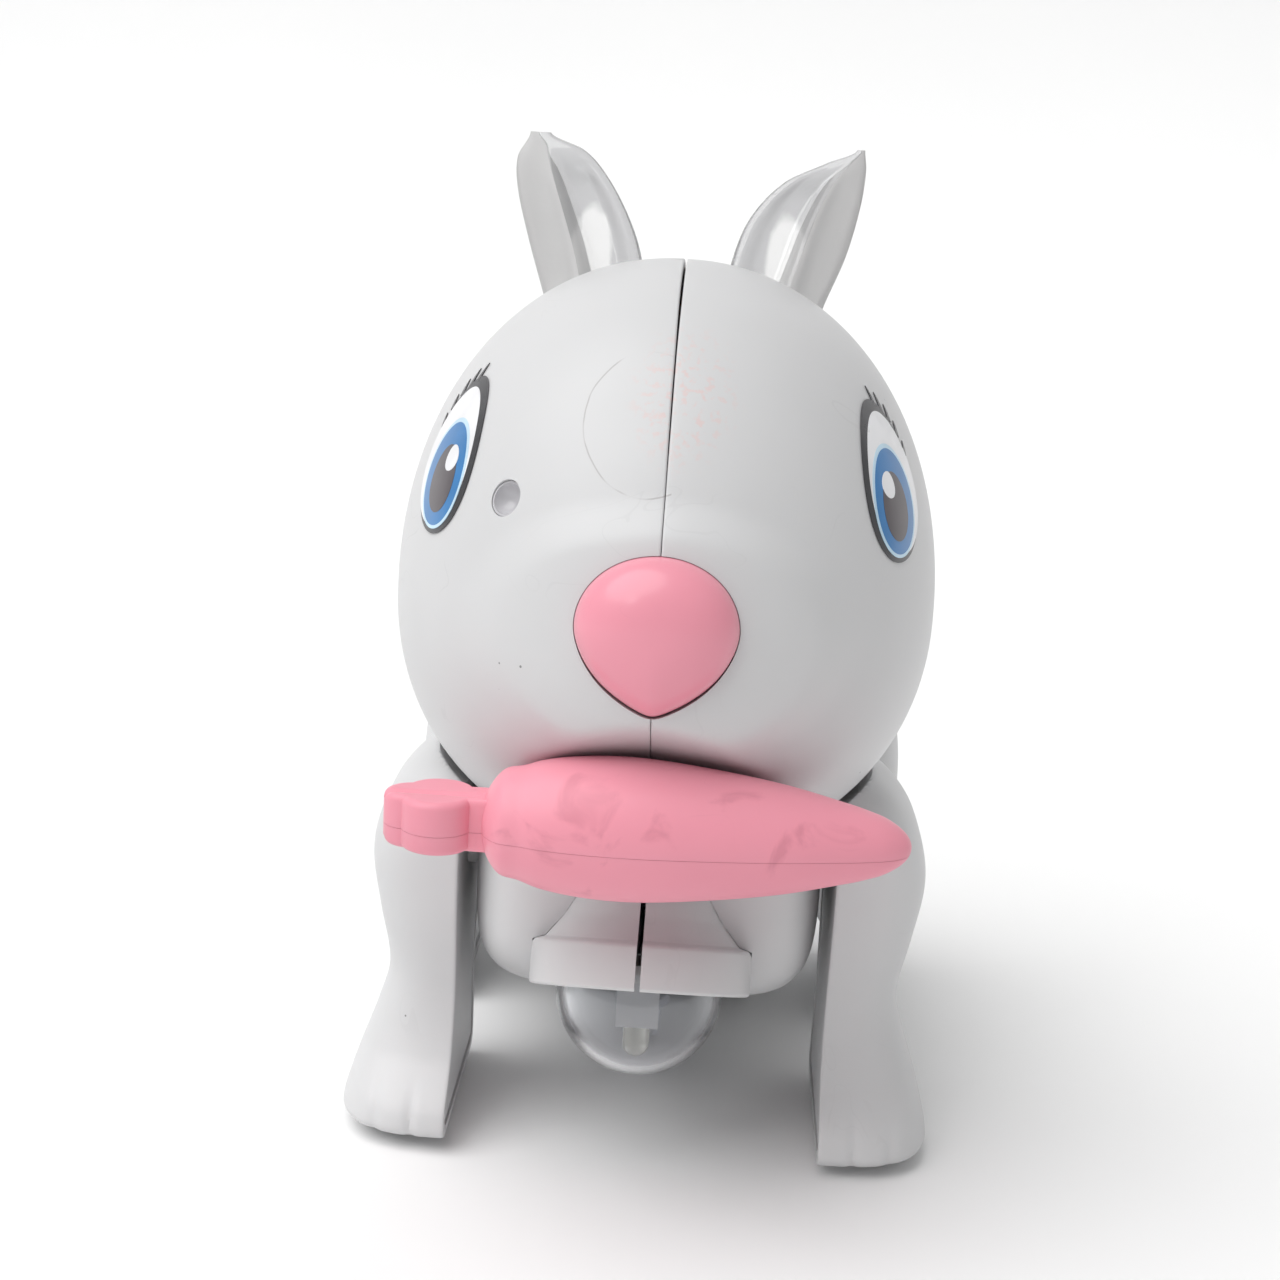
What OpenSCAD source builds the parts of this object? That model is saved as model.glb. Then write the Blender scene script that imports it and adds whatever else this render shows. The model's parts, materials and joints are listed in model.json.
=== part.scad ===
// Walking rabbit toy with a carrot, clear ears and a dome lamp under its chest.
// Millimetres. The floor is z = 0, the rabbit faces -Y and its own left side is +X.

/* [Head] */
// Height of the widest ring of the head
head_z = 108; // [100:0.5:116]
// Middle of the head from front to back
head_y = -16; // [-21:0.5:-11]
// Half width of the head
head_half_w = 52.3; // [46:0.1:58]
// Head height above its widest ring
head_up = 65; // [58:0.5:72]
// Head depth below its widest ring
head_down = 50; // [44:0.5:56]
// Reach of the head in front of its middle
head_front = 65; // [58:0.5:72]
// Reach of the head behind its middle
head_back = 50; // [44:0.5:56]
// Wall of the white mouldings
wall = 2; // [1.4:0.1:2.6]
// Open seam between left and right mouldings
seam = 0.6; // [0.3:0.1:1]
// How far the muzzle stands proud of the face
muzzle_h = 3; // [1:0.5:5]

/* [Nose and eyes] */
// Half width of the nose
nose_half_w = 14; // [11:0.5:17]
// Height of the middle of the nose
nose_z = 115; // [111:0.5:119]
// Nose height above its middle
nose_up = 12.5; // [9:0.5:15]
// Nose depth below its middle
nose_down = 15; // [11:0.5:18]
// How far the nose stands out of the face
nose_proud = 6; // [3:0.5:9]
// Height of the middle of the eyes
eye_z = 137; // [131:0.5:143]
// Angle of the eyes round the head, from straight ahead
eye_turn = 57; // [50:0.5:64]
// Half height of an eye sticker
eye_half_h = 14.6; // [12:0.1:17]
// Half width of an eye sticker
eye_half_w = 12.6; // [9:0.1:14]
// Radius of the cheek lens
cheek_r = 3.3; // [2:0.1:4.5]

/* [Ears] */
// Height of the ear tips above the crown of the head
ear_rise = 22; // [14:1:30]
// Thickness of an ear at its root
ear_t = 9; // [6:0.5:10]
// Front to back place of the ear roots
ear_y = 1; // [-3:0.5:5]
// Backward lean of the ears
ear_back = 20; // [8:1:28]

/* [Carrot] */
// Length of the carrot body
carrot_len = 75; // [62:1:88]
// Largest radius of the carrot
carrot_r = 12.6; // [10:0.2:15]
// Height of the carrot's middle line
carrot_z = 78; // [72:0.5:79]
// Thickness of the leaf tuft
leaf_t = 9.5; // [7:0.5:14]

/* [Body] */
// Half width of the body between the legs
body_half_w = 35; // [31:0.5:39]
// Height of the body's widest level
body_z = 58; // [54:0.5:62]
// Body depth below its widest level
body_down = 33.5; // [30:0.5:36]
// Body height above its widest level
body_up = 42; // [36:0.5:48]
// Front end of the body
body_front_y = -47; // [-51:0.5:-43]
// Rear end of the body
body_rear_y = 81; // [77:0.5:86]
// Radius of the tail ball
tail_r = 9.5; // [7:0.5:12]

/* [Lamp] */
// Radius of the housing's rim band
rim_r = 21; // [18:0.5:24]
// Height of the rim band
rim_h = 8.4; // [6:0.2:11]
// Radius of the clear dome
dome_r = 15.8; // [12:0.2:17]
// Forward tilt of the lamp
lamp_tilt = 21; // [10:1:30]

/* [Legs] */
// Height of the shoulder pivots
shoulder_z = 54; // [52:0.5:55]
// Front to back place of the shoulder pivots
shoulder_y = -17; // [-21:0.5:-13]
// Radius of the shoulder pivots
pivot_r = 4; // [3:0.1:5]
// Play between a leg and the body side
leg_play = 1.4; // [0.8:0.1:2.4]
// Height of the front soles above the floor
sole_lift = 2.2; // [2:0.1:4]
// Top of the front legs
leg_top = 79; // [75:0.5:83]
// Swing of a front leg each way
leg_swing = 3.5; // [1:0.5:4]
// Top of the haunches
haunch_top = 82; // [74:0.5:88]

/* [Drive] */
// Radius of the drive wheels over their tyres
wheel_r = 18; // [17:0.5:20]
// Width of a drive wheel
wheel_w = 7.5; // [5:0.5:9]
// Rear axle place from front to back
axle_y = 60; // [57:0.5:63]
// Radius of the drive axle
axle_r = 1.5; // [1:0.1:2]
// Gear module
gear_m = 0.8; // [0.7:0.05:0.85]
// Teeth of the large gears
big_teeth = 30; // [26:1:30]
// Teeth of the pinions
small_teeth = 10; // [8:1:11]
// Face width of the gears
gear_w = 4; // [3:0.5:4.5]
// Radius of the front roller
roller_r = 7; // [5:0.5:8]
// Trail of the front roller behind its swivel
roller_trail = 4; // [2:0.5:5]

/* [Power] */
// Length of a battery cell
cell_len = 50.5; // [44:0.5:51]
// Radius of a battery cell
cell_r = 7.2; // [5:0.1:7.3]
// Travel of the power switch
switch_travel = 3; // [2:0.5:4]

/* [Fits] */
// Radial play of a shaft in its bore
run_fit = 0.05; // [0.02:0.01:0.09]
// Gap between mouldings that plug together
plug_gap = 0.3; // [0.15:0.05:0.5]

/* [Hidden] */

$fn = 48;
half_seam = seam / 2;
white = "#F1F1F3";
pink = "#F7A3BC";
clear = [0.92, 0.95, 0.98, 0.4];
steel = "#B9BDC2";

// Head surface
head_power = 2.1;
mouth_slope = 1.6;
mouth_blend = 1.5;
muzzle_half_w = 33;
muzzle_half_h = 22;
muzzle_z = head_z + 4;

neck_r = 12;

// Carrot
carrot_y = head_y - 60;
carrot_tip_x = 46.5;
carrot_root_x = carrot_tip_x - carrot_len;
nose_front_y = head_y - head_front - muzzle_h - nose_proud;
carrot_gap = 0.8;
carrot_parting = 1.2;

// Body surface
body_power = 5;
body_top_power = 2.6;
body_mid_y = (body_front_y + body_rear_y) / 2;
body_half_len = (body_rear_y - body_front_y) / 2;
body_end_power = 3;
body_side_power = 5;
belly_z = body_z - body_down;
cradle_gap = 2.2;

// Lamp
lamp_y = body_front_y - 2;
lamp_z = 37.5;
cone_h = 10.5;
cone_low_r = 18.5;
cone_high_r = 12.5;

// Legs
leg_x = body_half_w + leg_play;
cover_t = 2;
lever_t = 3;
lever_x = body_half_w - wall - lever_t - 1.3;
haunch_peg = [55, 62];
haunch_x = body_half_w + 0.2;
paw_tuck = 6.6;
leg_head_gap = 3.2;

// Gear train, as places in the YZ plane
mesh = gear_m * (big_teeth + small_teeth) / 2;
axle_z = wheel_r;
step_y = 6;
step_z = sqrt(mesh * mesh - step_y * step_y);
motor_step_y = 3;
second_at = [axle_y - step_y, axle_z + step_z];
first_at = [axle_y, axle_z + 2 * step_z];
motor_at = [axle_y - motor_step_y, first_at[1] + sqrt(mesh * mesh - motor_step_y * motor_step_y)];
crank_mesh = gear_m * big_teeth;
crank_rise = 9;
crank_at = [first_at[0] - sqrt(crank_mesh * crank_mesh - crank_rise * crank_rise),
            first_at[1] + crank_rise];
lever_len = norm([crank_at[0] - shoulder_y, crank_at[1] - shoulder_z]);
crank_throw = lever_len * sin(leg_swing);
crank_pin_r = 1.5;
lever_eye_r = pivot_r + 2.5;
lever_ring_r = crank_throw * 2 + crank_pin_r + 0.5;
lever_play = 0.4;
big_r = gear_m * (big_teeth / 2 + 1);
frame_half = 14;
frame_t = 1.6;
axle_gear_x = -12;
second_gear_x = -6.6;
first_gear_x = 8.6;
pin_r = 1;

// Power
box_wall = 1.2;
cell_gap = 0.3;
box_y = axle_y - 53.5;
box_w = 4 * cell_r + 3 * cell_gap;
box_z = belly_z + 2.4;
box_half = cell_len / 2 + 1.9;
door_t = 2.2;
caster_y = box_y - 6.5;

// Cubic curve through [place, value] knots, level at both ends
function slope(k, i) =
    i <= 0 || i >= len(k) - 1 ? 0
    : (k[i + 1][1] - k[i - 1][1]) / (k[i + 1][0] - k[i - 1][0]);
function span(k, t, i = 0) = i >= len(k) - 2 || t < k[i + 1][0] ? i : span(k, t, i + 1);
function hermite(a, b, ma, mb, s, h) =
    a * (1 + 2 * s) * (1 - s) * (1 - s) + ma * h * s * (1 - s) * (1 - s)
    + b * s * s * (3 - 2 * s) + mb * h * s * s * (s - 1);
function curve(k, t) =
    let (i = span(k, t), h = k[i + 1][0] - k[i][0], s = min(max((t - k[i][0]) / h, 0), 1))
    hermite(k[i][1], k[i + 1][1], slope(k, i), slope(k, i + 1), s, h);

function smooth_step(a, b, t) =
    let (s = min(max((t - a) / (b - a), 0), 1))
    s * s * (3 - 2 * s);
// Larger of two values, rounded where they cross
function soft_max(a, b, k) = (a + b + sqrt((a - b) * (a - b) + k * k)) / 2;
function power_cos(t, p) = pow(max(cos(t), 0), 2 / p);
function power_sin(t, p) = sign(sin(t)) * pow(abs(sin(t)), 2 / p);

// Closed wall between an outer and an inner bowl that share an open rim.
// ring(u, v, w) and pole(end, w) give points, with w the distance inward.
module bowl(ring, pole, nu, nv, w) {
    row = nv + 1;
    size = (nu + 1) * row;
    grid = [for (d = [0, w]) for (i = [0:nu]) for (j = [0:nv]) ring(i / nu, j / nv, d)];
    poles = [for (d = [0, w]) for (e = [0, 1]) pole(e, d)];
    p0 = 2 * size;
    quads = [for (i = [0:nu - 1]) for (j = [0:nv - 1])
        [i * row + j, i * row + j + 1, (i + 1) * row + j + 1, (i + 1) * row + j]];
    low_fan = [for (j = [0:nv - 1]) [p0, j + 1, j]];
    high_fan = [for (j = [0:nv - 1]) [p0 + 1, nu * row + j, nu * row + j + 1]];
    skin = concat(quads, low_fan, high_fan);
    inner = [for (f = skin) [for (k = [len(f) - 1:-1:0]) f[k] >= p0 ? f[k] + 2 : f[k] + size]];
    rim = concat([p0], [for (i = [0:nu]) i * row], [p0 + 1], [for (i = [nu:-1:0]) i * row + nv]);
    lip = [for (k = [0:len(rim) - 1])
        let (a = rim[k], b = rim[(k + 1) % len(rim)],
             c = b >= p0 ? b + 2 : b + size, d = a >= p0 ? a + 2 : a + size)
        [a, b, c, d]];
    polyhedron(concat(grid, poles), concat(skin, inner, lip), convexity = 8);
}

// Solid through closed rings of points, capped flat at both ends
module tube(rings) {
    n = len(rings[0]);
    last = len(rings) - 1;
    sides = [for (i = [0:last - 1]) for (j = [0:n - 1])
        [i * n + j, (i + 1) * n + j, (i + 1) * n + (j + 1) % n, i * n + (j + 1) % n]];
    low = [[for (j = [0:n - 1]) j]];
    high = [[for (j = [n - 1:-1:0]) last * n + j]];
    polyhedron([for (r = rings) for (p = r) p], concat(sides, low, high), convexity = 6);
}

module both_ways(side) {
    if (side > 0) children();
    else mirror([1, 0, 0]) children();
}

module along_x(at, x0, x1, r, fn = 48) {
    translate([x0, at[0], at[1]])
        rotate([0, 90, 0])
            cylinder(h = x1 - x0, r = r, $fn = fn);
}

// Radius of the carrot at a place along X
function carrot_radius(x) =
    let (s = (x - carrot_root_x) / carrot_len,
         body = [[0, 0.66], [0.08, 0.8], [0.2, 0.95], [0.34, 1], [0.5, 0.93], [0.7, 0.76], [0.86, 0.54], [1, 0.34]],
         ends = s < 0.06 ? sqrt(max(1 - pow(1 - s / 0.06, 2), 0)) : s > 0.92 ? sqrt(max(1 - pow((s - 0.92) / 0.08, 2), 0)) : 1)
    carrot_r * curve(body, s) * ends;

// Furthest forward that the face may reach, so that it stays behind and above the carrot
function mouth_seat(x, z, w) =
    let (r = max(carrot_radius(x), 2),
         edge = carrot_z + r * 0.6)
    carrot_y + r + carrot_gap + w - mouth_slope * max(z - edge, 0);

function muzzle(x, z) =
    let (e = norm([x / muzzle_half_w, (z - muzzle_z) / muzzle_half_h]))
    muzzle_h * (1 - smooth_step(0.82, 1.12, e));

// Head surface by height angle t and turn angle a, w inside the skin; a = -90 is the front
function head_point(t, a, w) =
    let (s = power_sin(t, head_power),
         c = power_cos(t, head_power),
         z = head_z + (s > 0 ? head_up - w : head_down - w) * s,
         x = half_seam + (head_half_w - w - half_seam) * c * max(cos(a), 0),
         reach = a < 0 ? head_front - w : head_back - w,
         y = head_y + reach * c * sin(a),
         face = a < 0 ? y - muzzle(x, z) * c * max(-sin(a), 0) : y)
    [x, a < 0 ? soft_max(face, mouth_seat(x, z, w), mouth_blend) - mouth_blend * 0.05 : face, z];

module head_half() {
    nu = 24;
    nv = 22;
    edge = 8;
    bowl(function (u, v, w) head_point(-90 + edge + (180 - 2 * edge) * u, -90 + 180 * v, w),
         function (e, w) head_point(e == 0 ? -90 : 90, 0, w), nu, nv, wall);
}

// Narrowing of the nose towards its lower tip
function nose_taper(dip) = 1 - 0.2 * pow(dip, 1.5) - 0.24 * pow(dip, 6);

module nose_outline(grow) {
    n = 40;
    polygon([for (k = [0:n - 1])
        let (a = 360 * k / n, up = sin(a) > 0, dip = max(-sin(a), 0))
        [(nose_half_w + grow) * cos(a) * nose_taper(dip),
         (up ? nose_up + grow : nose_down + grow) * sin(a)]]);
}

function nose_ring(scale, y) =
    let (n = 40)
    [for (k = [0:n - 1])
        let (a = 360 * k / n, dip = max(-sin(a), 0), up = sin(a) > 0)
        [nose_half_w * scale * cos(a) * nose_taper(dip),
         y,
         nose_z + (up ? nose_up : nose_down) * scale * sin(a)]];

module nose() {
    base_y = head_y - head_front + 5;
    rings = 8;
    color(pink)
        tube(concat(
            [nose_ring(1, base_y)],
            [for (i = [0:rings])
                let (a = 84 * i / rings)
                nose_ring(cos(a) * 0.96 + 0.04 * cos(a), nose_front_y + (base_y - nose_front_y) * 0.62 * (1 - sin(a)))]));
}

// Outer and inner edges of the ears over their height above the root.
// The two ears sit turned a little differently, so each has its own edges.
ear_foot = head_z + head_up - 17;
ear_len = ear_rise + 17;
function ear_edge(side, outer) =
    let (h = ear_len / 39)
    side > 0 ? (outer ? [[0, 25.2], [8, 27.6], [18, 31.5], [28, 33.9], [35, 34.6], [39, 34.2]]
                      : [[0, 7.4], [8, 7.6], [17, 9], [25, 12.2], [32, 18.6], [36, 26.5], [39, 32.6]]) * [[h, 0], [0, 1]]
    : (outer ? [[0, 26], [8, 28.8], [18, 32.4], [28, 35.4], [34, 35.8], [39, 33.6]]
             : [[0, 7.8], [8, 8], [17, 9.8], [25, 13.4], [32, 18.2], [36, 22.6], [39, 29.4]]) * [[h, 0], [0, 1]];
// Ear section at height z above the foot: a flat oval with a hollow in its front
function ear_ring(side, z, grow = 0, n = 20) =
    let (out = curve(ear_edge(side, true), z) + grow,
         in = curve(ear_edge(side, false), z) - grow,
         f = z / ear_len,
         t = ear_t / 2 * (1 - 0.6 * f) * (1 - 0.75 * pow(f, 9)) + grow,
         scoop = grow > 0 ? 0 : 0.7 * t * smooth_step(0.38, 0.6, f) * (1 - smooth_step(0.8, 1, f)))
    [for (k = [0:n - 1])
        let (a = 360 * k / n, front = max(-sin(a), 0))
        [side * ((out + in) / 2 + (out - in) / 2 * cos(a)),
         ear_y + z * tan(ear_back) + t * power_sin(a, 2.6) + scoop * front * front,
         ear_foot + z]];

module ear_body(side, rings, top, grow) {
    sections = [for (i = [0:rings]) ear_ring(side, top * i / rings, grow)];
    tube(side > 0 ? sections : [for (r = sections) [for (k = [len(r) - 1:-1:0]) r[k]]]);
}

module ear(side) {
    color(clear) ear_body(side, 13, ear_len, 0);
}

// Straight slot through the crown that an ear's root plugs into
module ear_slot(side) {
    low = ear_ring(side, 0, plug_gap);
    mid_x = (low[0][0] + low[10][0]) / 2;
    half = abs(low[0][0] - low[10][0]) / 2;
    lean = 12;
    depth = 18;
    t = ear_t / 2 + plug_gap;
    translate([mid_x, ear_y, ear_foot])
        rotate([-ear_back, side * lean, 0])
            translate([0, 0, 2])
                linear_extrude(depth)
                    union() {
                        square([2 * (half + 1.4 - t), 2 * t], center = true);
                        for (e = [-1, 1])
                            translate([e * (half + 1.4 - t), 0])
                                circle(r = t);
                    }
}

module ear_leds() {
    color("#FFFFFF")
        for (side = [-1, 1])
            translate([side * 17, ear_y, ear_foot - 6])
                cylinder(h = 6 - plug_gap, r = 2.5);
}

module neck_tube() {
    low = 50;
    high = head_z - head_down + 6;
    color(white)
        translate([0, head_y, low])
            difference() {
                cylinder(h = high - low, r = neck_r);
                translate([0, 0, -1]) cylinder(h = high - low + 2, r = neck_r - wall);
            }
}

// Frame of the cheek lens on the right cheek, +Z out of the skin
module cheek_lens_place() {
    turn = 35;
    tilt = 22;
    translate([27.5, head_y - head_front * 0.76, 133])
        rotate([0, 0, turn])
            rotate([90 - tilt, 0, 0])
                children();
}

module cheek_lens() {
    color(clear)
        both_ways(-1)
            cheek_lens_place()
                translate([0, 0, -4])
                    difference() {
                        cylinder(h = 4, r = cheek_r);
                        translate([0, 0, 4.6]) sphere(r = cheek_r * 0.9);
                    }
}

module head_shell(side) {
    color(white)
        both_ways(side)
            difference() {
                head_half();
                translate([0, head_y - head_front + 12, nose_z])
                    rotate([90, 0, 0])
                        linear_extrude(30)
                            nose_outline(plug_gap);
                both_ways(side) ear_slot(side);
                translate([0, head_y, head_z - head_down - 5]) cylinder(h = 14, r = neck_r + plug_gap);
                if (side < 0)
                    cheek_lens_place()
                        translate([0, 0, -12]) cylinder(h = 24, r = cheek_r + 0.05);
            }
}

// Point of an eye sticker: q is the height above the eye's middle and p the distance round
function eye_point(p, q, w) =
    let (z = eye_z + q,
         s = (z - head_z) / head_up,
         t = asin(pow(s, head_power / 2)),
         a = -90 + eye_turn + p)
    head_point(t, a, w);

module eye_sticker(side) {
    n = 24;
    rings = 4;
    lean = 12;
    per_mm = 57.3 / 56;
    spots = [for (i = [0:rings]) for (k = [0:n - 1])
        let (a = 360 * k / n, r = max(i / rings, 0.02),
             p = eye_half_w * r * cos(a), q = eye_half_h * r * sin(a))
        [(p * cos(lean) + q * sin(lean)) * per_mm, q * cos(lean) - p * sin(lean)]];
    row = n;
    count = (rings + 1) * n;
    faces = [for (i = [0:rings - 1]) for (k = [0:n - 1])
        [i * row + k, i * row + (k + 1) % n, (i + 1) * row + (k + 1) % n, (i + 1) * row + k]];
    cap = [for (k = [n - 1:-1:0]) k];
    skin = concat(faces, [cap]);
    back = [for (f = skin) [for (k = [len(f) - 1:-1:0]) f[k] + count]];
    edge = [for (k = [0:n - 1])
        let (a = rings * n + k, b = rings * n + (k + 1) % n)
        [a, b, b + count, a + count]];
    color("#5AA0D8")
        both_ways(side)
            polyhedron([for (w = [-0.45, -0.2]) for (s = spots) eye_point(s[0], s[1], w)],
                       concat(skin, back, edge), convexity = 4);
}

module carrot_solid(grow = 0) {
    n = 26;
    shell = [for (i = [0:n])
        let (x = carrot_root_x + carrot_len * (1 - cos(180 * i / n)) / 2)
        [max(carrot_radius(x) + grow, 0), x]];
    translate([0, carrot_y, carrot_z])
        rotate([0, 90, 0])
            rotate_extrude($fn = 64)
                polygon(concat([[0, carrot_root_x]], shell, [[0, carrot_tip_x]]));
}

module leaves() {
    lobe = 5.2;
    reach = 15;
    translate([carrot_root_x + 2, carrot_y, carrot_z - leaf_t / 2])
        linear_extrude(leaf_t)
            union() {
                translate([-reach, -3.4]) square([reach, 6.8]);
                for (e = [-1, 1])
                    translate([-reach + 2.5, e * 4.2]) circle(r = lobe);
                translate([-reach + 0.6, 0]) circle(r = lobe - 0.6);
                for (e = [-1, 1])
                    translate([-reach / 2 + 2, e * 4.4]) circle(r = 3.6);
            }
}

module carrot_half(upper) {
    big = 120;
    split = carrot_z - carrot_parting;
    color(pink)
        difference() {
            union() {
                carrot_solid();
                leaves();
            }
            carrot_solid(-wall);
            translate([-big / 2, carrot_y - big / 2, upper ? split - big : split])
                cube(big);
        }
}

// Head underside above a place on the body, or a large number outside the head
function head_floor(x, y, gap) =
    let (e = norm([x / (head_half_w + gap),
                   (y - head_y) / ((y < head_y ? head_front : head_back) + gap)]))
    e >= 1 ? 1000
    : head_z - (head_down + gap) * pow(1 - pow(e, head_power), 1 / head_power);

// Body surface by length angle t and turn angle a, w inside the skin; a = -90 is the belly
function body_point(t, a, w) =
    let (s = power_sin(t, body_end_power),
         c = power_cos(t, body_end_power),
         side = pow(max(1 - pow(abs(s), body_side_power), 0), 1 / body_side_power),
         y = body_mid_y + (body_half_len - w) * s,
         p = a < 0 ? body_power : body_top_power,
         x = half_seam + (body_half_w - w - half_seam) * side * power_cos(a, p),
         z = body_z + (a < 0 ? body_down - w : body_up - w) * c * power_sin(a, p))
    [x, y, min(z, head_floor(x, y, cradle_gap) - w)];

module body_half() {
    nu = 30;
    nv = 23;
    edge = 9;
    bowl(function (u, v, w) body_point(-90 + edge + (180 - 2 * edge) * u, -90 + 180 * v, w),
         function (e, w) body_point(e == 0 ? -90 : 90, 0, w), nu, nv, wall);
}

module lamp_place() {
    translate([0, lamp_y, lamp_z])
        rotate([-lamp_tilt, 0, 0])
            children();
}

module housing_profile(grow, low = 0) {
    polygon([[0, -low], [rim_r + grow, -low], [rim_r + grow, rim_h],
             [cone_low_r + grow, rim_h + 0.8], [cone_high_r + grow, rim_h + cone_h], [0, rim_h + cone_h]]);
}

module lamp_housing(side) {
    big = 60;
    t = 1.6;
    gap = 0.5;
    color(white)
        intersection() {
            lamp_place()
                difference() {
                    rotate_extrude($fn = 64) housing_profile(0);
                    translate([0, 0, -1]) cylinder(h = rim_h + 1 - t, r = rim_r - t);
                    translate([0, 0, rim_h - t - 1]) cylinder(h = cone_h, r = cone_high_r - t);
                }
            translate([side > 0 ? gap : -big - gap, -big - 20, 0])
                cube([big, 2 * big, 2 * big]);
        }
}

module lamp_dome() {
    flange_r = rim_r - 1.6 - plug_gap;
    t = 1.4;
    color(clear)
        lamp_place()
            difference() {
                union() {
                    sphere(r = dome_r, $fn = 64);
                    cylinder(h = t, r = flange_r);
                }
                translate([0, 0, t]) cylinder(h = 2 * dome_r, r = flange_r + 1);
                sphere(r = dome_r - t, $fn = 64);
                cylinder(h = t + 1, r = dome_r - t);
            }
}

module lamp_post() {
    w = 8;
    t = 5;
    low = -7;
    color(white)
        lamp_place() {
            translate([-w / 2, -t / 2, low]) cube([w, t, rim_h - 2 - low]);
            translate([0, 0, 3]) cylinder(h = 1.6, r = rim_r - 3);
        }
}

module lamp_led() {
    r = 2.5;
    low = -7;
    color("#FFF6D8")
        lamp_place()
            union() {
                translate([0, 0, low - 3]) cylinder(h = 3, r = r);
                translate([0, 0, low - 3]) sphere(r = r);
            }
}

// Inner side of a leg, never nearer the body than its top knot
function inner_side(inner, z) = max(curve(inner, z), inner[len(inner) - 1][1]);

// Half-oval leg section: flat on its inner side, rounded outside, kept below the head.
// inner, out, front and rear are curves over height, and k closes the section towards its ends
function leg_ring(z, v, w, inner, out, front, rear, k) =
    let (x0 = inner_side(inner, z),
         yf = curve(front, z) + w,
         yr = curve(rear, z) - w,
         a = -90 + 180 * v,
         x = x0 + (curve(out, z) - x0 - w) * k * power_cos(a, 3.2),
         y = (yf + yr) / 2 + (yr - yf) / 2 * k * power_sin(a, 3.2))
    [x, y, min(z, head_floor(x, y, leg_head_gap) - w)];

module leg_shell(inner, z0, z1, out, front, rear, top_round, nu, nv) {
    low = 2.5;
    bend = z1 - top_round;
    part = 0.72;
    function height(u, w) =
        u < part ? z0 + w + (bend - z0 - w) * u / part
        : bend + (z1 - w - bend) * sin(88 * (u - part) / (1 - part));
    function close(z, w) =
        z > bend ? sqrt(max(1 - pow((z - bend) / (z1 - w - bend), 2), 0))
        : 1 - 0.12 * pow(max(1 - (z - z0 - w) / low, 0), 2);
    mid_y = (curve(front, z0) + curve(rear, z0)) / 2;
    top_y = (curve(front, z1) + curve(rear, z1)) / 2;
    bowl(function (u, v, w)
             let (z = height(u, w))
             leg_ring(z, v, w, inner, out, front, rear, close(z, w)),
         function (e, w)
             e == 0 ? [curve(inner, z0), mid_y, z0 + w]
             : [curve(inner, z1), top_y, min(z1, head_floor(curve(inner, z1), top_y, leg_head_gap)) - w],
         nu, nv, wall);
}

leg_out = [[0, 59.5], [4, 59.4], [11, 57.3], [21, 53.6], [31, 51.3], [44, 53.4], [55, 55],
           [63, 53.6], [72, 49.5], [leg_top, 46]];
leg_inner = [[0, leg_x], [leg_top, leg_x]];
leg_front = [[0, -48], [8, -47], [16, -39], [28, -36], [48, -40], [66, -41], [leg_top, -39]];
leg_rear = [[0, 3], [10, 2], [22, 0], [44, 5], [66, 7], [leg_top, 5]];

module front_leg(side) {
    color(white)
        both_ways(side)
            leg_shell(leg_inner, sole_lift, leg_top, leg_out, leg_front, leg_rear, 13, 22, 16);
}

// Flat outline of a leg's opening, drawn in by inset and kept below the head at x
module cover_outline(x, z0, z1, front, rear, top_round, inset) {
    n = 20;
    bend = z1 - top_round;
    round = top_round - inset;
    function close(z) = z < bend ? 1 : sqrt(1 - pow((z - bend) / round, 2));
    function edge(z, way) =
        let (mid = (curve(front, z) + curve(rear, z)) / 2,
             y = mid + way * ((curve(rear, z) - curve(front, z)) / 2 - inset) * close(z))
        [y, min(z, head_floor(x, y, leg_head_gap) - inset)];
    levels = [for (i = [0:n]) z0 + inset + (bend + 0.97 * round - z0 - inset) * i / n];
    polygon(concat([for (z = levels) edge(z, -1)],
                   [for (i = [n:-1:0]) edge(levels[i], 1)]));
}

module front_leg_cover(side) {
    inset = wall + 1.2;
    color(white)
        both_ways(side)
            union() {
                translate([leg_x + 0.2, 0, 0])
                    rotate([90, 0, 90])
                        linear_extrude(cover_t)
                            cover_outline(leg_x, sole_lift, leg_top, leg_front, leg_rear, 13, inset);
                along_x([shoulder_y, shoulder_z], lever_x, leg_x + 1, pivot_r);
            }
}

module lever_place(x) {
    turn = atan2(crank_at[1] - shoulder_z, crank_at[0] - shoulder_y);
    translate([x, shoulder_y, shoulder_z])
        rotate([90, 0, 90])
            rotate([0, 0, turn])
                children();
}

module leg_lever(side) {
    color("#D9DADF")
        both_ways(side)
            lever_place(lever_x)
                linear_extrude(lever_t)
                    difference() {
                        union() {
                            circle(r = lever_eye_r);
                            translate([0, -3]) square([lever_len, 6]);
                            translate([lever_len, 0]) circle(r = lever_ring_r + 2);
                        }
                        circle(r = pivot_r);
                        translate([lever_len, 0]) circle(r = lever_ring_r);
                    }
}

// Room that a swinging lever needs inside the body
module lever_room() {
    lever_place(lever_x - lever_play)
        linear_extrude(lever_t + 2 * lever_play)
            hull() {
                circle(r = lever_eye_r + lever_play);
                translate([lever_len, 0]) circle(r = lever_ring_r + 2 + crank_throw + lever_play);
            }
}

haunch_out = [[0, 55], [5, 55], [12, 52], [20, 49], [32, 51.5], [50, 54], [66, 53.5], [haunch_top, 49]];
haunch_inner = [[0, haunch_x + paw_tuck], [14, haunch_x + paw_tuck], [32, haunch_x], [haunch_top, haunch_x]];
haunch_front = [[0, 31], [6, 30], [13, 34], [21, 38], [32, 30], [50, 24], [68, 28], [haunch_top, 39]];
haunch_rear = [[0, 79], [8, 79.5], [16, 78], [24, 75], [36, 79], [52, 81], [68, 77], [haunch_top, 67]];

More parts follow.
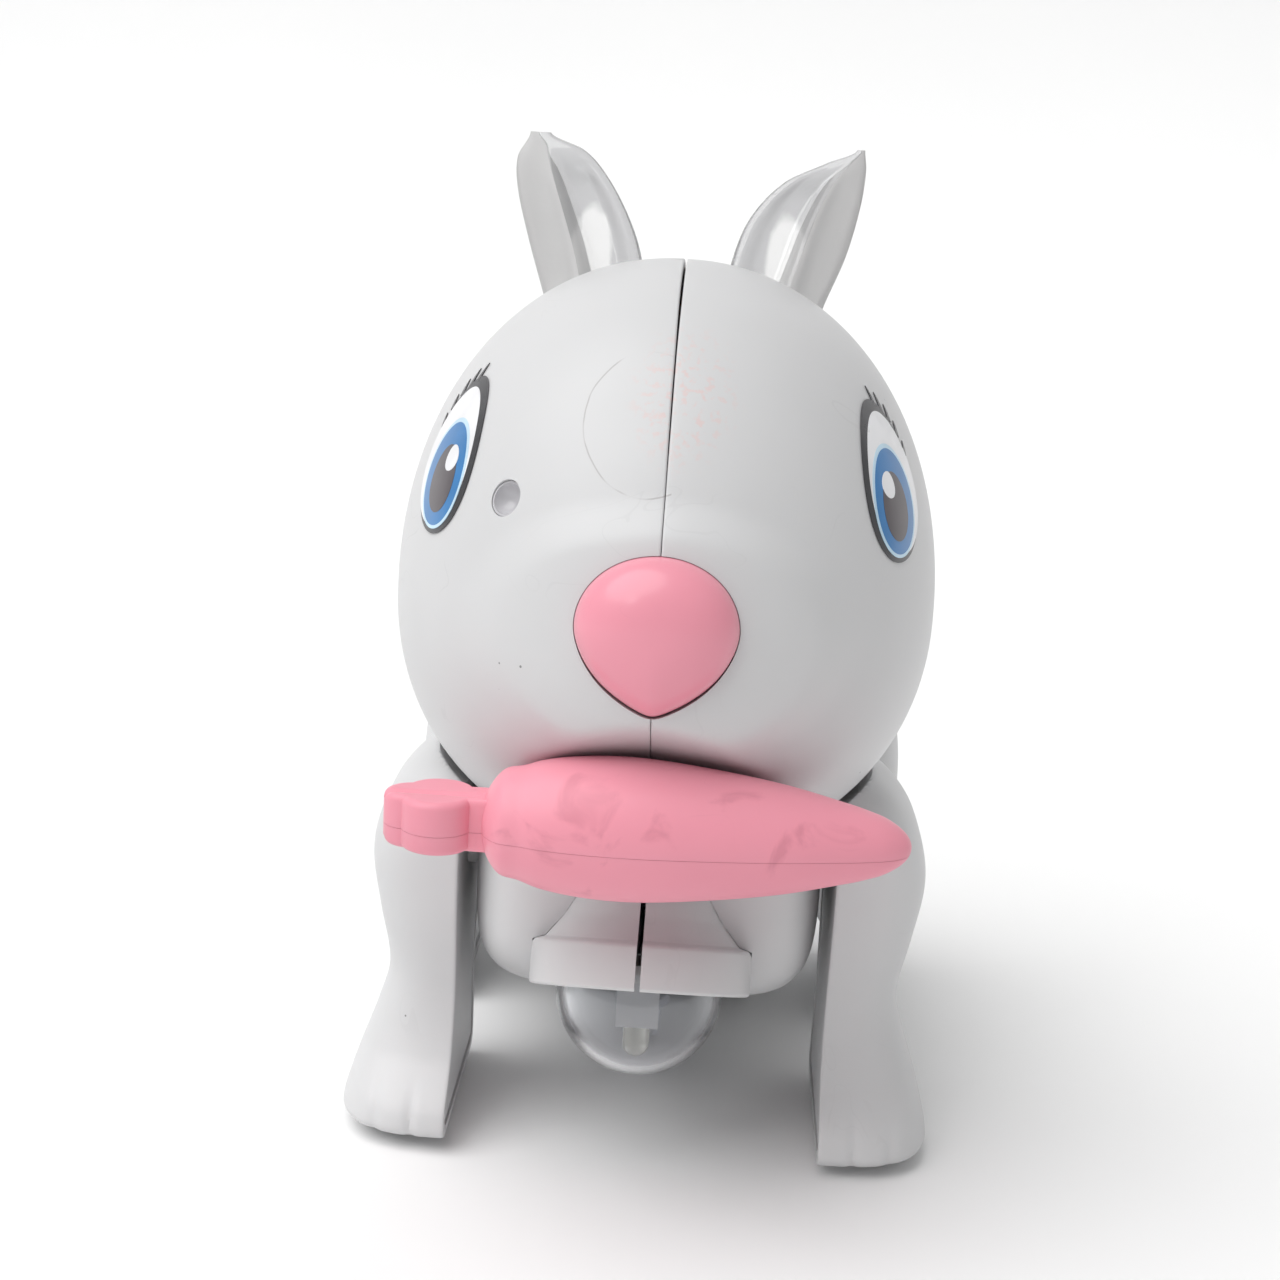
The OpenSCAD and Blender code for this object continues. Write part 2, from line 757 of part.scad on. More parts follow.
module rear_leg(side) {
    color(white)
        both_ways(side)
            leg_shell(haunch_inner, 0.8, haunch_top, haunch_out, haunch_front, haunch_rear, 16, 20, 16);
}

tail_z = body_z - 4;
tail_y = -nose_front_y - tail_r;

module rear_leg_cover(side) {
    n = 30;
    inset = wall + 1.2;
    low = 0.8 + inset;
    top = haunch_top - 2 * inset;
    bend = haunch_top - 16;
    function edge(z, way) =
        let (mid = (curve(haunch_front, z) + curve(haunch_rear, z)) / 2,
             half = (curve(haunch_rear, z) - curve(haunch_front, z)) / 2 - inset,
             close = z < bend ? 1 : sqrt(1 - pow((z - bend) / 16, 2)))
        mid + way * half * close;
    function row(z) =
        let (x = inner_side(haunch_inner, z) + 0.2,
             up = [for (way = [-1, 1])
                 min(z, head_floor(x + cover_t, edge(z, way), leg_head_gap) - inset - 0.02 * (top - z))])
        [[x, edge(z, -1), up[0]], [x + cover_t, edge(z, -1), up[0]],
         [x + cover_t, edge(z, 1), up[1]], [x, edge(z, 1), up[1]]];
    color(white)
        both_ways(side)
            union() {
                tube([for (i = [0:n]) row(low + (top - low) * i / n)]);
                along_x(haunch_peg, body_half_w - wall - 3, haunch_x + 1, pivot_r);
            }
}

module tail() {
    big = 4 * tail_r;
    color(white)
        translate([0, tail_y, tail_z])
            union() {
                difference() {
                    sphere(r = tail_r, $fn = 64);
                    translate([-big / 2, body_rear_y + 0.1 - tail_y - big, -big / 2]) cube(big);
                }
                rotate([90, 0, 0]) cylinder(h = tail_y - body_rear_y + 5, r = 3);
            }
}

// Phase of a gear that meshes with another one: turn is the direction towards it
function mesh_phase(from, to, phase, teeth_a, teeth_b) =
    let (turn = atan2(to[1] - from[1], to[0] - from[0]),
         share = (turn - phase) * teeth_a / 360)
    turn + 180 - 360 / teeth_b * (0.5 - share);

module gear_teeth(teeth) {
    tip = gear_m * (teeth / 2 + 0.9);
    foot = gear_m * (teeth / 2 - 1.25);
    foot_half = gear_m * 0.8;
    tip_half = gear_m * 0.25;
    pitch = 360 / teeth;
    union() {
        circle(r = foot, $fn = 60);
        for (k = [0:teeth - 1])
            rotate(k * pitch)
                polygon([[foot - 0.3, -foot_half], [tip, -tip_half], [tip, tip_half], [foot - 0.3, foot_half]]);
    }
}

module gear(at, x, teeth, width, phase) {
    translate([x, at[0], at[1]])
        rotate([90, 0, 90])
            linear_extrude(width)
                rotate(phase)
                    gear_teeth(teeth);
}

module disc(at, x, r, width) {
    along_x(at, x, x + width, r);
}

module axle_gear() {
    color("#E8E4D8")
        difference() {
            union() {
                gear([axle_y, axle_z], axle_gear_x, big_teeth, gear_w, 0);
                disc([axle_y, axle_z], axle_gear_x - 1, 4, gear_w + 2);
            }
            along_x([axle_y, axle_z], -40, 40, axle_r);
        }
}

module drive_axle() {
    reach = frame_half + frame_t + 0.8 + wheel_w + 1;
    color(steel)
        along_x([axle_y, axle_z], -reach, reach, axle_r);
}

wheel_x = frame_half + frame_t + 0.8;
tyre_t = 3.5;

module wheel(side) {
    hub_r = wheel_r - tyre_t;
    color("#E9E9EC")
        both_ways(side)
            translate([wheel_x, axle_y, axle_z])
                rotate([0, 90, 0])
                    difference() {
                        cylinder(h = wheel_w, r = hub_r, $fn = 64);
                        translate([0, 0, -1]) cylinder(h = wheel_w + 2, r = axle_r);
                        translate([0, 0, wheel_w - 2])
                            difference() {
                                cylinder(h = 3, r = hub_r - 2);
                                translate([0, 0, -1]) cylinder(h = 5, r = 4);
                            }
                    }
}

module tyre(side) {
    color("#3A3A3D")
        both_ways(side)
            translate([wheel_x, axle_y, axle_z])
                rotate([0, 90, 0])
                    rotate_extrude($fn = 64)
                        difference() {
                            translate([wheel_r - tyre_t, 0]) square([tyre_t, wheel_w]);
                            for (k = [1:2])
                                translate([wheel_r, wheel_w * k / 3]) circle(r = 0.6, $fn = 16);
                        }
}

module first_gear() {
    color("#E8E4D8")
        difference() {
            union() {
                gear(first_at, first_gear_x, big_teeth, gear_w, 0);
                gear(first_at, second_gear_x - 0.4, small_teeth, gear_w + 0.8,
                     mesh_phase(second_at, first_at, 0, big_teeth, small_teeth));
                disc(first_at, second_gear_x, 2.4, first_gear_x - second_gear_x);
            }
            along_x(first_at, -40, 40, pin_r + run_fit);
        }
}

module second_gear() {
    color("#E8E4D8")
        difference() {
            union() {
                gear(second_at, second_gear_x, big_teeth, gear_w, 0);
                gear(second_at, axle_gear_x - 0.4, small_teeth, gear_w + 0.8,
                     mesh_phase([axle_y, axle_z], second_at, 0, big_teeth, small_teeth));
                disc(second_at, axle_gear_x, 2.4, second_gear_x - axle_gear_x);
            }
            along_x(second_at, -40, 40, pin_r + run_fit);
        }
}

module gear_pins() {
    reach = frame_half + frame_t;
    color(steel)
        for (at = [first_at, second_at])
            along_x(at, -reach, reach, pin_r);
}

motor_len = 20;
motor_x = -frame_half;

module motor() {
    r = 10;
    flat = 15;
    color("#C9CCD0")
        difference() {
            union() {
                intersection() {
                    along_x(motor_at, motor_x, motor_x + motor_len, r);
                    translate([motor_x, motor_at[0] - r, motor_at[1] - flat / 2])
                        cube([motor_len, 2 * r, flat]);
                }
                along_x(motor_at, motor_x + motor_len - 1, motor_x + motor_len + 0.8, 3);
            }
            along_x(motor_at, motor_x + 4, motor_x + motor_len + 2, pin_r + run_fit);
        }
}

module motor_pinion() {
    color("#D8B25A")
        union() {
            gear(motor_at, first_gear_x, small_teeth, gear_w,
                 mesh_phase(first_at, motor_at, 0, big_teeth, small_teeth));
            along_x(motor_at, motor_x + 5, first_gear_x + gear_w, pin_r);
        }
}

module crank_gear() {
    color("#E8E4D8")
        difference() {
            union() {
                gear(crank_at, first_gear_x, big_teeth, gear_w,
                     mesh_phase(first_at, crank_at, 0, big_teeth, big_teeth));
                disc(crank_at, first_gear_x - 2, 4, gear_w + 3);
            }
            along_x(crank_at, -40, 40, axle_r);
        }
}

module crank_shaft() {
    inner = lever_x - 1.6;
    arm_t = 2;
    color(steel)
        for (side = [-1, 1])
            both_ways(side)
                union() {
                    along_x(crank_at, 0, inner, axle_r);
                    along_x(crank_at, inner - arm_t, inner, crank_throw + crank_pin_r + 1);
                    along_x([crank_at[0] + side * crank_throw, crank_at[1]], inner, lever_x + lever_t, crank_pin_r);
                }
}

tub_z0 = axle_z - big_r - 2.4;
tub_z1 = belly_z + 1;
tub_y0 = second_at[0] - big_r - 2.2;
tub_y1 = axle_y + big_r + 1.6;

module gear_frame(side) {
    top_z = motor_at[1] + 9;
    color("#DADBE0")
        both_ways(side)
            difference() {
                union() {
                    translate([frame_half, tub_y0, tub_z0])
                        cube([frame_t, tub_y1 - tub_y0, top_z - tub_z0]);
                    translate([frame_half, crank_at[0] - 4, crank_at[1] - 5])
                        cube([frame_t, tub_y0 - crank_at[0] + 5, 10]);
                    difference() {
                        translate([0.05, tub_y0, tub_z0])
                            cube([frame_half, tub_y1 - tub_y0, tub_z1 - tub_z0]);
                        translate([-1, tub_y0 + frame_t, tub_z0 + frame_t])
                            cube([frame_half + 1, tub_y1 - tub_y0 - 2 * frame_t, tub_z1 - tub_z0]);
                    }
                }
                along_x([axle_y, axle_z], 0, 40, axle_r + run_fit);
                along_x(crank_at, 0, 40, axle_r + run_fit);
                along_x(first_at, 0, 40, pin_r);
                along_x(second_at, 0, 40, pin_r);
            }
}

module battery_box() {
    h = 2 * cell_r + 2 * cell_gap + box_wall;
    tab = 4;
    skirt = 1;
    bevel = 4.6;
    color("#E2E3E8")
        difference() {
            translate([-box_half - box_wall, box_y, box_z])
                cube([2 * (box_half + box_wall), box_w + 2 * box_wall, h]);
            difference() {
                translate([-box_half, box_y + box_wall, box_z - 1])
                    cube([2 * box_half, box_w, h - box_wall + 1]);
                translate([-tab, box_y, box_z - 1]) cube([2 * tab, box_wall + 4.4, 2]);
            }
            for (side = [-1, 1]) {
                translate([side * (box_half + box_wall), box_y - 1, box_z + skirt])
                    rotate([0, 45, 0])
                        translate([-bevel, 0, -bevel]) cube([2 * bevel, box_w + 6, 2 * bevel]);
                translate([side > 0 ? 2 * tab : -2 * tab - box_half, box_y - 1, box_z - 1])
                    cube([box_half, box_w, skirt + 1]);
            }
            translate([-box_half, box_y + box_wall + 8, box_z - 1])
                cube([2 * box_half, box_w, skirt + 1]);
            translate([0, door_screw_y, box_z - 2]) cylinder(h = 6, r = 0.95);
        }
}

cell_ys = [for (k = [0, 1]) box_y + box_wall + cell_r + cell_gap + k * (2 * cell_r + cell_gap)];
cell_z = box_z + cell_r + cell_gap;

module batteries() {
    color("#4E7FB5")
        for (k = [0, 1])
            both_ways(k == 0 ? 1 : -1)
                union() {
                    along_x([cell_ys[k], cell_z], -cell_len / 2, cell_len / 2 - 1, cell_r);
                    along_x([cell_ys[k], cell_z], cell_len / 2 - 2, cell_len / 2, 2.6);
                }
}

module battery_contacts() {
    color(steel)
        for (k = [0, 1])
            for (side = [-1, 1])
                translate([side > 0 ? box_half - 0.5 : -box_half, cell_ys[k] - 4, cell_z - 3.5])
                    cube([0.5, 8, 8.5]);
}

door_half_x = box_half - 1;
door_y0 = box_y + 1.2;
door_y1 = box_y + box_w + 1;
door_screw_y = door_y0 + 2.5;

module battery_door() {
    color(white)
        difference() {
            translate([-door_half_x, door_y0, belly_z])
                cube([2 * door_half_x, door_y1 - door_y0, door_t]);
            translate([0, door_screw_y, belly_z - 1]) cylinder(h = door_t + 2, r = 1.3);
            translate([0, door_screw_y, belly_z - 1]) cylinder(h = 2.3, r = 2);
            for (k = [0:3])
                translate([-8, door_y1 - 4 - 2 * k, belly_z - 1]) cube([16, 1, 1.5]);
        }
}

module screw(at, head_r, r, len) {
    translate(at)
        difference() {
            union() {
                cylinder(h = 1, r = head_r);
                translate([0, 0, 0.5]) cylinder(h = len, r = r);
            }
            translate([-head_r * 0.7, -0.3, -0.1]) cube([head_r * 1.4, 0.6, 0.6]);
            translate([-0.3, -head_r * 0.7, -0.1]) cube([0.6, head_r * 1.4, 0.6]);
        }
}

module door_screw() {
    color(steel) screw([0, door_screw_y, belly_z + 0.3], 1.8, 0.95, 2.6);
}

switch_at = [18, -2, belly_z + 4.3];

module switch_body() {
    color("#2B2B2E")
        translate(switch_at)
            difference() {
                translate([-5, -3, 0]) cube([10, 6, 5]);
                translate([-1.4 - switch_travel / 2, -1.7, -1]) cube([2.8 + switch_travel, 3.4, 3.5]);
            }
}

module switch_knob() {
    color("#1E1E20")
        translate(switch_at)
            translate([-1.2 - switch_travel / 2, -1.5, -4.7])
                cube([2.4, 3, 6.9]);
}

module circuit_board() {
    t = 1.2;
    z = box_z + 2 * cell_r + 2 * cell_gap + box_wall + 1;
    color("#3C7A4A")
        union() {
            translate([-20, box_y + 2, z]) cube([40, 20, t]);
            translate([-4, box_y + 8, z + t]) cube([8, 8, 1.6]);
            translate([8, box_y + 8, z + t]) cylinder(h = 6, r = 2.5);
        }
}

module speaker() {
    seat = 33.5;
    color("#44454A")
        translate([0, head_y + 1, seat])
            union() {
                cylinder(h = 2.5, r = 11);
                translate([0, 0, 2.5]) cylinder(h = 3, r = 6);
            }
}

swivel_r = 2.5;
socket_r = 5.5;

module caster_socket() {
    low = belly_z - 5;
    color("#DADBE0")
        translate([0, caster_y, low])
            difference() {
                union() {
                    cylinder(h = 12, r = socket_r);
                    translate([0, 0, 7.8]) cylinder(h = 1.6, r = socket_r + 0.8);
                }
                translate([0, 0, -1]) cylinder(h = 14, r = swivel_r + run_fit);
            }
}

module caster_fork() {
    half = 4.6;
    t = 1.8;
    top = 2 * roller_r + 1.2;
    y = caster_y + roller_trail;
    color("#C8C9CF")
        difference() {
            union() {
                translate([0, caster_y, top]) cylinder(h = 2.6, r = 7);
                translate([0, caster_y, top]) cylinder(h = belly_z + 7 - top, r = swivel_r);
                for (side = [-1, 1])
                    translate([side > 0 ? half - t + 0.4 : -half - 0.4, y - 3, roller_r - 3])
                        cube([t, 6, top + 1 - roller_r + 3]);
            }
            along_x([y, roller_r], -10, 10, 1);
        }
}

module caster_axle() {
    color(steel) along_x([caster_y + roller_trail, roller_r], -5, 5, 1);
}

module caster_roller() {
    w = 5;
    color("#8E9096")
        translate([-w / 2, caster_y + roller_trail, roller_r])
            rotate([0, 90, 0])
                rotate_extrude()
                    polygon([[1 + run_fit, 0], [roller_r - 0.8, 0], [roller_r, 1], [roller_r, w - 1],
                             [roller_r - 0.8, w], [1 + run_fit, w]]);
}

// Screws that hold the two body halves: places in YZ and the reach of their bosses along X
screw_places = [[-17, 43.5, 33.5], [22, 66, 33], [68, 78, 27.5]];
boss_r = 3.6;
head_sink = 6;

module body_screws() {
    color(steel)
        for (at = screw_places)
            union() {
                along_x(at, head_sink - at[2], at[2] - 9, 1.15);
                along_x(at, head_sink - at[2], head_sink + 1.6 - at[2], 2.3);
            }
}

module screw_boss(at) {
    along_x(at, half_seam, at[2], boss_r);
}

module body_shell(side) {
    opening_x = wheel_x + wheel_w + 1.5;
    color(white)
        both_ways(side)
            difference() {
                union() {
                    body_half();
                    for (at = screw_places) screw_boss(at);
                }
                for (at = screw_places) along_x(at, -1, at[2] - 7, 1.2);
                if (side < 0)
                    for (at = screw_places) along_x(at, at[2] - head_sink - 1.8, body_half_w + 1, 2.5);
                along_x([shoulder_y, shoulder_z], 20, 60, pivot_r + run_fit);
                along_x(haunch_peg, 20, 60, pivot_r + 0.1);
                lever_room();
                translate([0, head_y, 45]) cylinder(h = 30, r = neck_r + plug_gap);
                lamp_place() rotate_extrude($fn = 64) housing_profile(plug_gap, 4);
                translate([-5, tub_y0 - 0.5, -5])
                    cube([5 + opening_x, body_rear_y - tub_y0 - 2, belly_z + 22]);
                translate([-5, door_y0 - plug_gap, belly_z - 5])
                    cube([5 + door_half_x + plug_gap, door_y1 - door_y0 + 2 * plug_gap, 12]);
                translate([0, caster_y, belly_z - 6]) cylinder(h = 13, r = socket_r + 0.1);
                translate([0, body_rear_y + 10, tail_z])
                    rotate([90, 0, 0])
                        cylinder(h = 25, r = 3.1);
                if (side > 0)
                    translate([switch_at[0] - 1.4 - switch_travel / 2, switch_at[1] - 1.7, belly_z - 2])
                        cube([2.8 + switch_travel, 3.4, 6]);
            }
}

body_shell(1);  // body_shell_left
body_shell(-1);  // body_shell_right
head_shell(1);  // head_shell_left
head_shell(-1);  // head_shell_right
nose();
eye_sticker(1);  // eye_sticker_left
eye_sticker(-1);  // eye_sticker_right
cheek_lens();
ear(1);  // ear_left
ear(-1);  // ear_right
ear_leds();
carrot_half(true);  // carrot_upper
carrot_half(false);  // carrot_lower
neck_tube();
lamp_housing(1);  // lamp_housing_left
lamp_housing(-1);  // lamp_housing_right
lamp_dome();
lamp_post();
lamp_led();
front_leg(1);  // front_leg_left
front_leg(-1);  // front_leg_right
front_leg_cover(1);  // front_leg_cover_left
front_leg_cover(-1);  // front_leg_cover_right
leg_lever(1);  // leg_lever_left
leg_lever(-1);  // leg_lever_right
rear_leg(1);  // rear_leg_left
rear_leg(-1);  // rear_leg_right
rear_leg_cover(1);  // rear_leg_cover_left
rear_leg_cover(-1);  // rear_leg_cover_right
tail();
battery_box();
battery_door();
door_screw();
batteries();
battery_contacts();
switch_body();
switch_knob();
circuit_board();
speaker();
gear_frame(1);  // gear_frame_left
gear_frame(-1);  // gear_frame_right
gear_pins();
motor();
motor_pinion();
first_gear();
second_gear();
crank_gear();
crank_shaft();
drive_axle();
axle_gear();
wheel(1);  // wheel_left
wheel(-1);  // wheel_right
tyre(1);  // tyre_left
tyre(-1);  // tyre_right
caster_socket();
caster_fork();
caster_axle();
caster_roller();
body_screws();
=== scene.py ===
import json
import math

import bmesh
import bpy
import numpy as np
from mathutils import Matrix, Vector


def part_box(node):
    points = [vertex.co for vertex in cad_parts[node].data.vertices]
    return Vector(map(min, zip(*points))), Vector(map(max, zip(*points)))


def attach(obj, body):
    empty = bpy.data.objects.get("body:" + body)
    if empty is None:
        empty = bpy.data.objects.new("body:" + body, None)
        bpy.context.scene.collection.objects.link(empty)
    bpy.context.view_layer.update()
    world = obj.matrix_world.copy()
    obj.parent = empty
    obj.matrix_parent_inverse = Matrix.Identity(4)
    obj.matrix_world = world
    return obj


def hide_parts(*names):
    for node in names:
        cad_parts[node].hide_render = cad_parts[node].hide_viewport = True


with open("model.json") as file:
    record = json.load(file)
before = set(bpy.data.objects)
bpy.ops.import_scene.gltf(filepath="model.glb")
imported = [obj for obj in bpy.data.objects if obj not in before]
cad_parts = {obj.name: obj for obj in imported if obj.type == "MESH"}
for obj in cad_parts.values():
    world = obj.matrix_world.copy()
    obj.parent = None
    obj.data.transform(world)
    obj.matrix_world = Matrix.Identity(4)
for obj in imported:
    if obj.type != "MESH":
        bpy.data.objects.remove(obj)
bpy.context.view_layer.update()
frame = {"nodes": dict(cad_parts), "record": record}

bl_info = {
    "name": "Walking rabbit toy",
    "version": (1, 0, 0),
    "blender": (4, 5, 0),
    "location": "View3D > Sidebar > Walking rabbit",
    "description": "Builds the skins and finishes of a walking rabbit toy round its packed frame",
    "category": "Add Mesh",
}

MM = 0.001


# Places and sizes taken from the frame, in millimetres

def low(node):
    return np.array(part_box(node)[0]) / MM


def high(node):
    return np.array(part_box(node)[1]) / MM


HEAD_TOP = high("head_shell_left")[2]
HEAD_HALF_W = high("head_shell_left")[0]
HEAD_UP = 65.0
HEAD_DOWN = 50.0
HEAD_FRONT = 65.0
HEAD_BACK = 50.0
HEAD_Z = HEAD_TOP - HEAD_UP
HEAD_Y = high("head_shell_left")[1] - HEAD_BACK
HALF_SEAM = low("head_shell_left")[0]
WALL = 2.0
HEAD_POWER = 2.1
NECK_R = 12.3

CARROT_TIP = high("carrot_lower")[0]
CARROT_LEN = 75.0
CARROT_R = 12.6
CARROT_ROOT = CARROT_TIP - CARROT_LEN
CARROT_Y = HEAD_Y - 60.0
CARROT_Z = low("carrot_lower")[2] + CARROT_R
CARROT_SPLIT = high("carrot_lower")[2]

BODY_FRONT = low("body_shell_left")[1]
BODY_REAR = high("body_shell_left")[1]
BODY_MID = (BODY_FRONT + BODY_REAR) / 2
BODY_HALF_LEN = (BODY_REAR - BODY_FRONT) / 2
BODY_HALF_W = 35.0
BELLY_Z = low("body_shell_left")[2]
BODY_DOWN = 33.5
BODY_UP = 42.0
BODY_Z = BELLY_Z + BODY_DOWN
CRADLE_GAP = 0.6
LEG_GAP = 1.5

LAMP_Y = BODY_FRONT - 2.0
LAMP_Z = 37.5
LAMP_TILT = 21.0
RIM_R = 21.0
RIM_H = 8.4
DOME_R = 15.8
CONE_TOP = RIM_H + 10.5
CONE_LOW_R = 18.5
CONE_MID_R = 15.1
CONE_TOP_R = 12.5

EAR_FOOT = low("ear_left")[2]
EAR_LEN = high("ear_left")[2] - EAR_FOOT
EAR_Y = HEAD_Y + 17.0
EAR_BACK = 20.0

NOSE_FRONT = low("nose")[1]
NOSE_BASE = high("nose")[1]
NOSE_Z = 115.0
EYE_Z = 137.0
EYE_TURN = 57.0

LEG_X = low("front_leg_left")[0]
HAUNCH_X = low("rear_leg_left")[0]
PAW_TUCK = 6.6
SHOULDER = (-17.0, 54.0)
HAUNCH_PEG = (55.0, 62.0)
SCREWS = ((-17, 43.5, 33.5), (22, 66, 33), (68, 78, 27.5))
SCREW_HEAD_R = 2.5


# Curves and surfaces, in millimetres

def curve(knots, place):
    """Cubic through [place, value] knots, level at both ends."""
    xs = np.array([k[0] for k in knots], float)
    ys = np.array([k[1] for k in knots], float)
    rise = np.zeros(len(xs))
    rise[1:-1] = (ys[2:] - ys[:-2]) / (xs[2:] - xs[:-2])
    place = np.asarray(place, float)
    i = np.clip(np.searchsorted(xs, place, side="right") - 1, 0, len(xs) - 2)
    h = xs[i + 1] - xs[i]
    s = np.clip((place - xs[i]) / h, 0, 1)
    start = ys[i] * (1 + 2 * s) * (1 - s) ** 2 + rise[i] * h * s * (1 - s) ** 2
    return start + ys[i + 1] * s * s * (3 - 2 * s) + rise[i + 1] * h * s * s * (s - 1)


def smooth_step(a, b, t):
    s = np.clip((np.asarray(t, float) - a) / (b - a), 0, 1)
    return s * s * (3 - 2 * s)


def soft_max(a, b, k):
    return (a + b + np.sqrt((a - b) ** 2 + k * k)) / 2


def spots(x, y, z):
    return np.stack(np.broadcast_arrays(x, y, z), -1)


def rounded(angle, power):
    """Cosine and sine of a squared-off circle, spread evenly round it."""
    c = np.cos(angle)
    s = np.sin(angle)
    r = (np.abs(c) ** power + np.abs(s) ** power) ** (-1 / power)
    return c * r, s * r


CARROT_KNOTS = [[0, 0.66], [0.08, 0.8], [0.2, 0.95], [0.34, 1], [0.5, 0.93],
                [0.7, 0.76], [0.86, 0.54], [1, 0.34]]


def carrot_radius(x):
    s = (np.asarray(x, float) - CARROT_ROOT) / CARROT_LEN
    root = np.sqrt(np.clip(1 - (1 - s / 0.06) ** 2, 0, None))
    tip = np.sqrt(np.clip(1 - ((s - 0.92) / 0.08) ** 2, 0, None))
    ends = np.where(s < 0.06, root, np.where(s > 0.92, tip, 1))
    return CARROT_R * curve(CARROT_KNOTS, s) * ends


def mouth_seat(x, z, w):
    r = np.maximum(carrot_radius(x), 2)
    edge = CARROT_Z + 0.6 * r
    return CARROT_Y + r + 0.8 + w - 1.6 * np.maximum(z - edge, 0)


def muzzle(x, z):
    e = np.hypot(x / 33, (z - HEAD_Z - 4) / 22)
    return 3 * (1 - smooth_step(0.82, 1.12, e))


def head_point(level, turn, w, seam=None):
    """Head surface at a height angle and a turn angle, w inside the skin; turn -90 is the front."""
    seam = HALF_SEAM if seam is None else seam
    c, s = rounded(level, HEAD_POWER)
    z = HEAD_Z + np.where(s > 0, HEAD_UP - w, HEAD_DOWN - w) * s
    side = np.maximum(np.cos(turn), 0)
    x = seam + (HEAD_HALF_W - w - seam) * c * side
    reach = np.where(turn < 0, HEAD_FRONT - w, HEAD_BACK - w)
    y = HEAD_Y + reach * c * np.sin(turn)
    face = y - muzzle(x, z) * c * np.maximum(-np.sin(turn), 0)
    seated = soft_max(face, mouth_seat(x, z, w), 1.5) - 0.075
    return spots(x, np.where(turn < 0, seated, y), z)


def head_floor(x, y, gap):
    reach = np.where(y < HEAD_Y, HEAD_FRONT, HEAD_BACK) + gap
    e = np.hypot(x / (HEAD_HALF_W + gap), (y - HEAD_Y) / reach)
    dip = np.clip(1 - np.minimum(e, 1) ** HEAD_POWER, 0, None) ** (1 / HEAD_POWER)
    return np.where(e >= 1, 1000, HEAD_Z - (HEAD_DOWN + gap) * dip)


def body_point(along, turn, w, seam=None):
    """Body surface at an angle along its length and a turn angle; turn -90 is the belly."""
    seam = HALF_SEAM if seam is None else seam
    c, s = rounded(along, 3)
    side = np.clip(1 - np.abs(s) ** 5, 0, None) ** 0.2
    y = BODY_MID + (BODY_HALF_LEN - w) * s
    low_c, low_s = rounded(turn, 5)
    top_c, top_s = rounded(turn, 2.6)
    x = seam + (BODY_HALF_W - w - seam) * side * np.clip(np.where(turn < 0, low_c, top_c), 0, None)
    z = BODY_Z + c * np.where(turn < 0, (BODY_DOWN - w) * low_s, (BODY_UP - w) * top_s)
    return spots(x, y, np.minimum(z, head_floor(x, y, CRADLE_GAP) - w))


# Meshes

def grid_faces(rows, columns, start=0, flip=False):
    i, j = np.meshgrid(np.arange(rows - 1), np.arange(columns - 1), indexing="ij")
    a = (start + i * columns + j).ravel()
    quads = np.stack([a, a + 1, a + columns + 1, a + columns], -1)
    return (quads[:, ::-1] if flip else quads).tolist()


def shell_mesh(outer, inner, outer_poles, inner_poles):
    """Closed wall between two grids that share their rims, with a pole at both ends of each."""
    nu, no = outer.shape[:2]
    ni = inner.shape[1]
    base = nu * no
    points = np.concatenate([outer.reshape(-1, 3), inner.reshape(-1, 3), outer_poles, inner_poles])
    p = base + nu * ni
    faces = grid_faces(nu, no) + grid_faces(nu, ni, base, True)
    for end, row in ((0, 0), (1, nu - 1)):
        first = row * no
        second = base + row * ni
        faces += [[p + end, first + j + (end == 0), first + j + (end == 1)] for j in range(no - 1)]
        faces += [[p + 2 + end, second + j + (end == 1), second + j + (end == 0)]
                  for j in range(ni - 1)]
    for side in (0, 1):
        o = [i * no + side * (no - 1) for i in range(nu)]
        n = [base + i * ni + side * (ni - 1) for i in range(nu)]
        o = [p] + o + [p + 1]
        n = [p + 2] + n + [p + 3]
        for k in range(len(o) - 1):
            quad = [o[k], o[k + 1], n[k + 1], n[k]]
            faces.append(quad if side == 0 else quad[::-1])
    return points, faces


def ring_mesh(rings):
    """Skin through closed rings of points, with flat fans on its ends."""
    count, n = rings.shape[:2]
    faces = []
    for i in range(count - 1):
        for j in range(n):
            k = (j + 1) % n
            faces.append([i * n + j, i * n + k, (i + 1) * n + k, (i + 1) * n + j])
    middle = [rings[0].mean(0), rings[-1].mean(0)]
    c = count * n
    last = (count - 1) * n
    faces += [[c, (j + 1) % n, j] for j in range(n)]
    faces += [[c + 1, last + j, last + (j + 1) % n] for j in range(n)]
    return np.concatenate([rings.reshape(-1, 3), middle]), faces


def revolve(profile, steps=96):
    """Closed (radius, height) outline turned about Z."""
    angles = np.linspace(0, 2 * np.pi, steps, endpoint=False)
    r = np.array([max(p[0], 0.0) for p in profile])
    z = np.array([p[1] for p in profile])
    points = np.stack([r[None] * np.cos(angles)[:, None], r[None] * np.sin(angles)[:, None],
                       np.broadcast_to(z, (steps, len(z)))], -1).reshape(-1, 3)
    n = len(z)
    faces = []
    for i in range(steps):
        k = (i + 1) % steps
        for j in range(n):
            m = (j + 1) % n
            faces.append([i * n + j, k * n + j, k * n + m, i * n + m])
    return points, faces


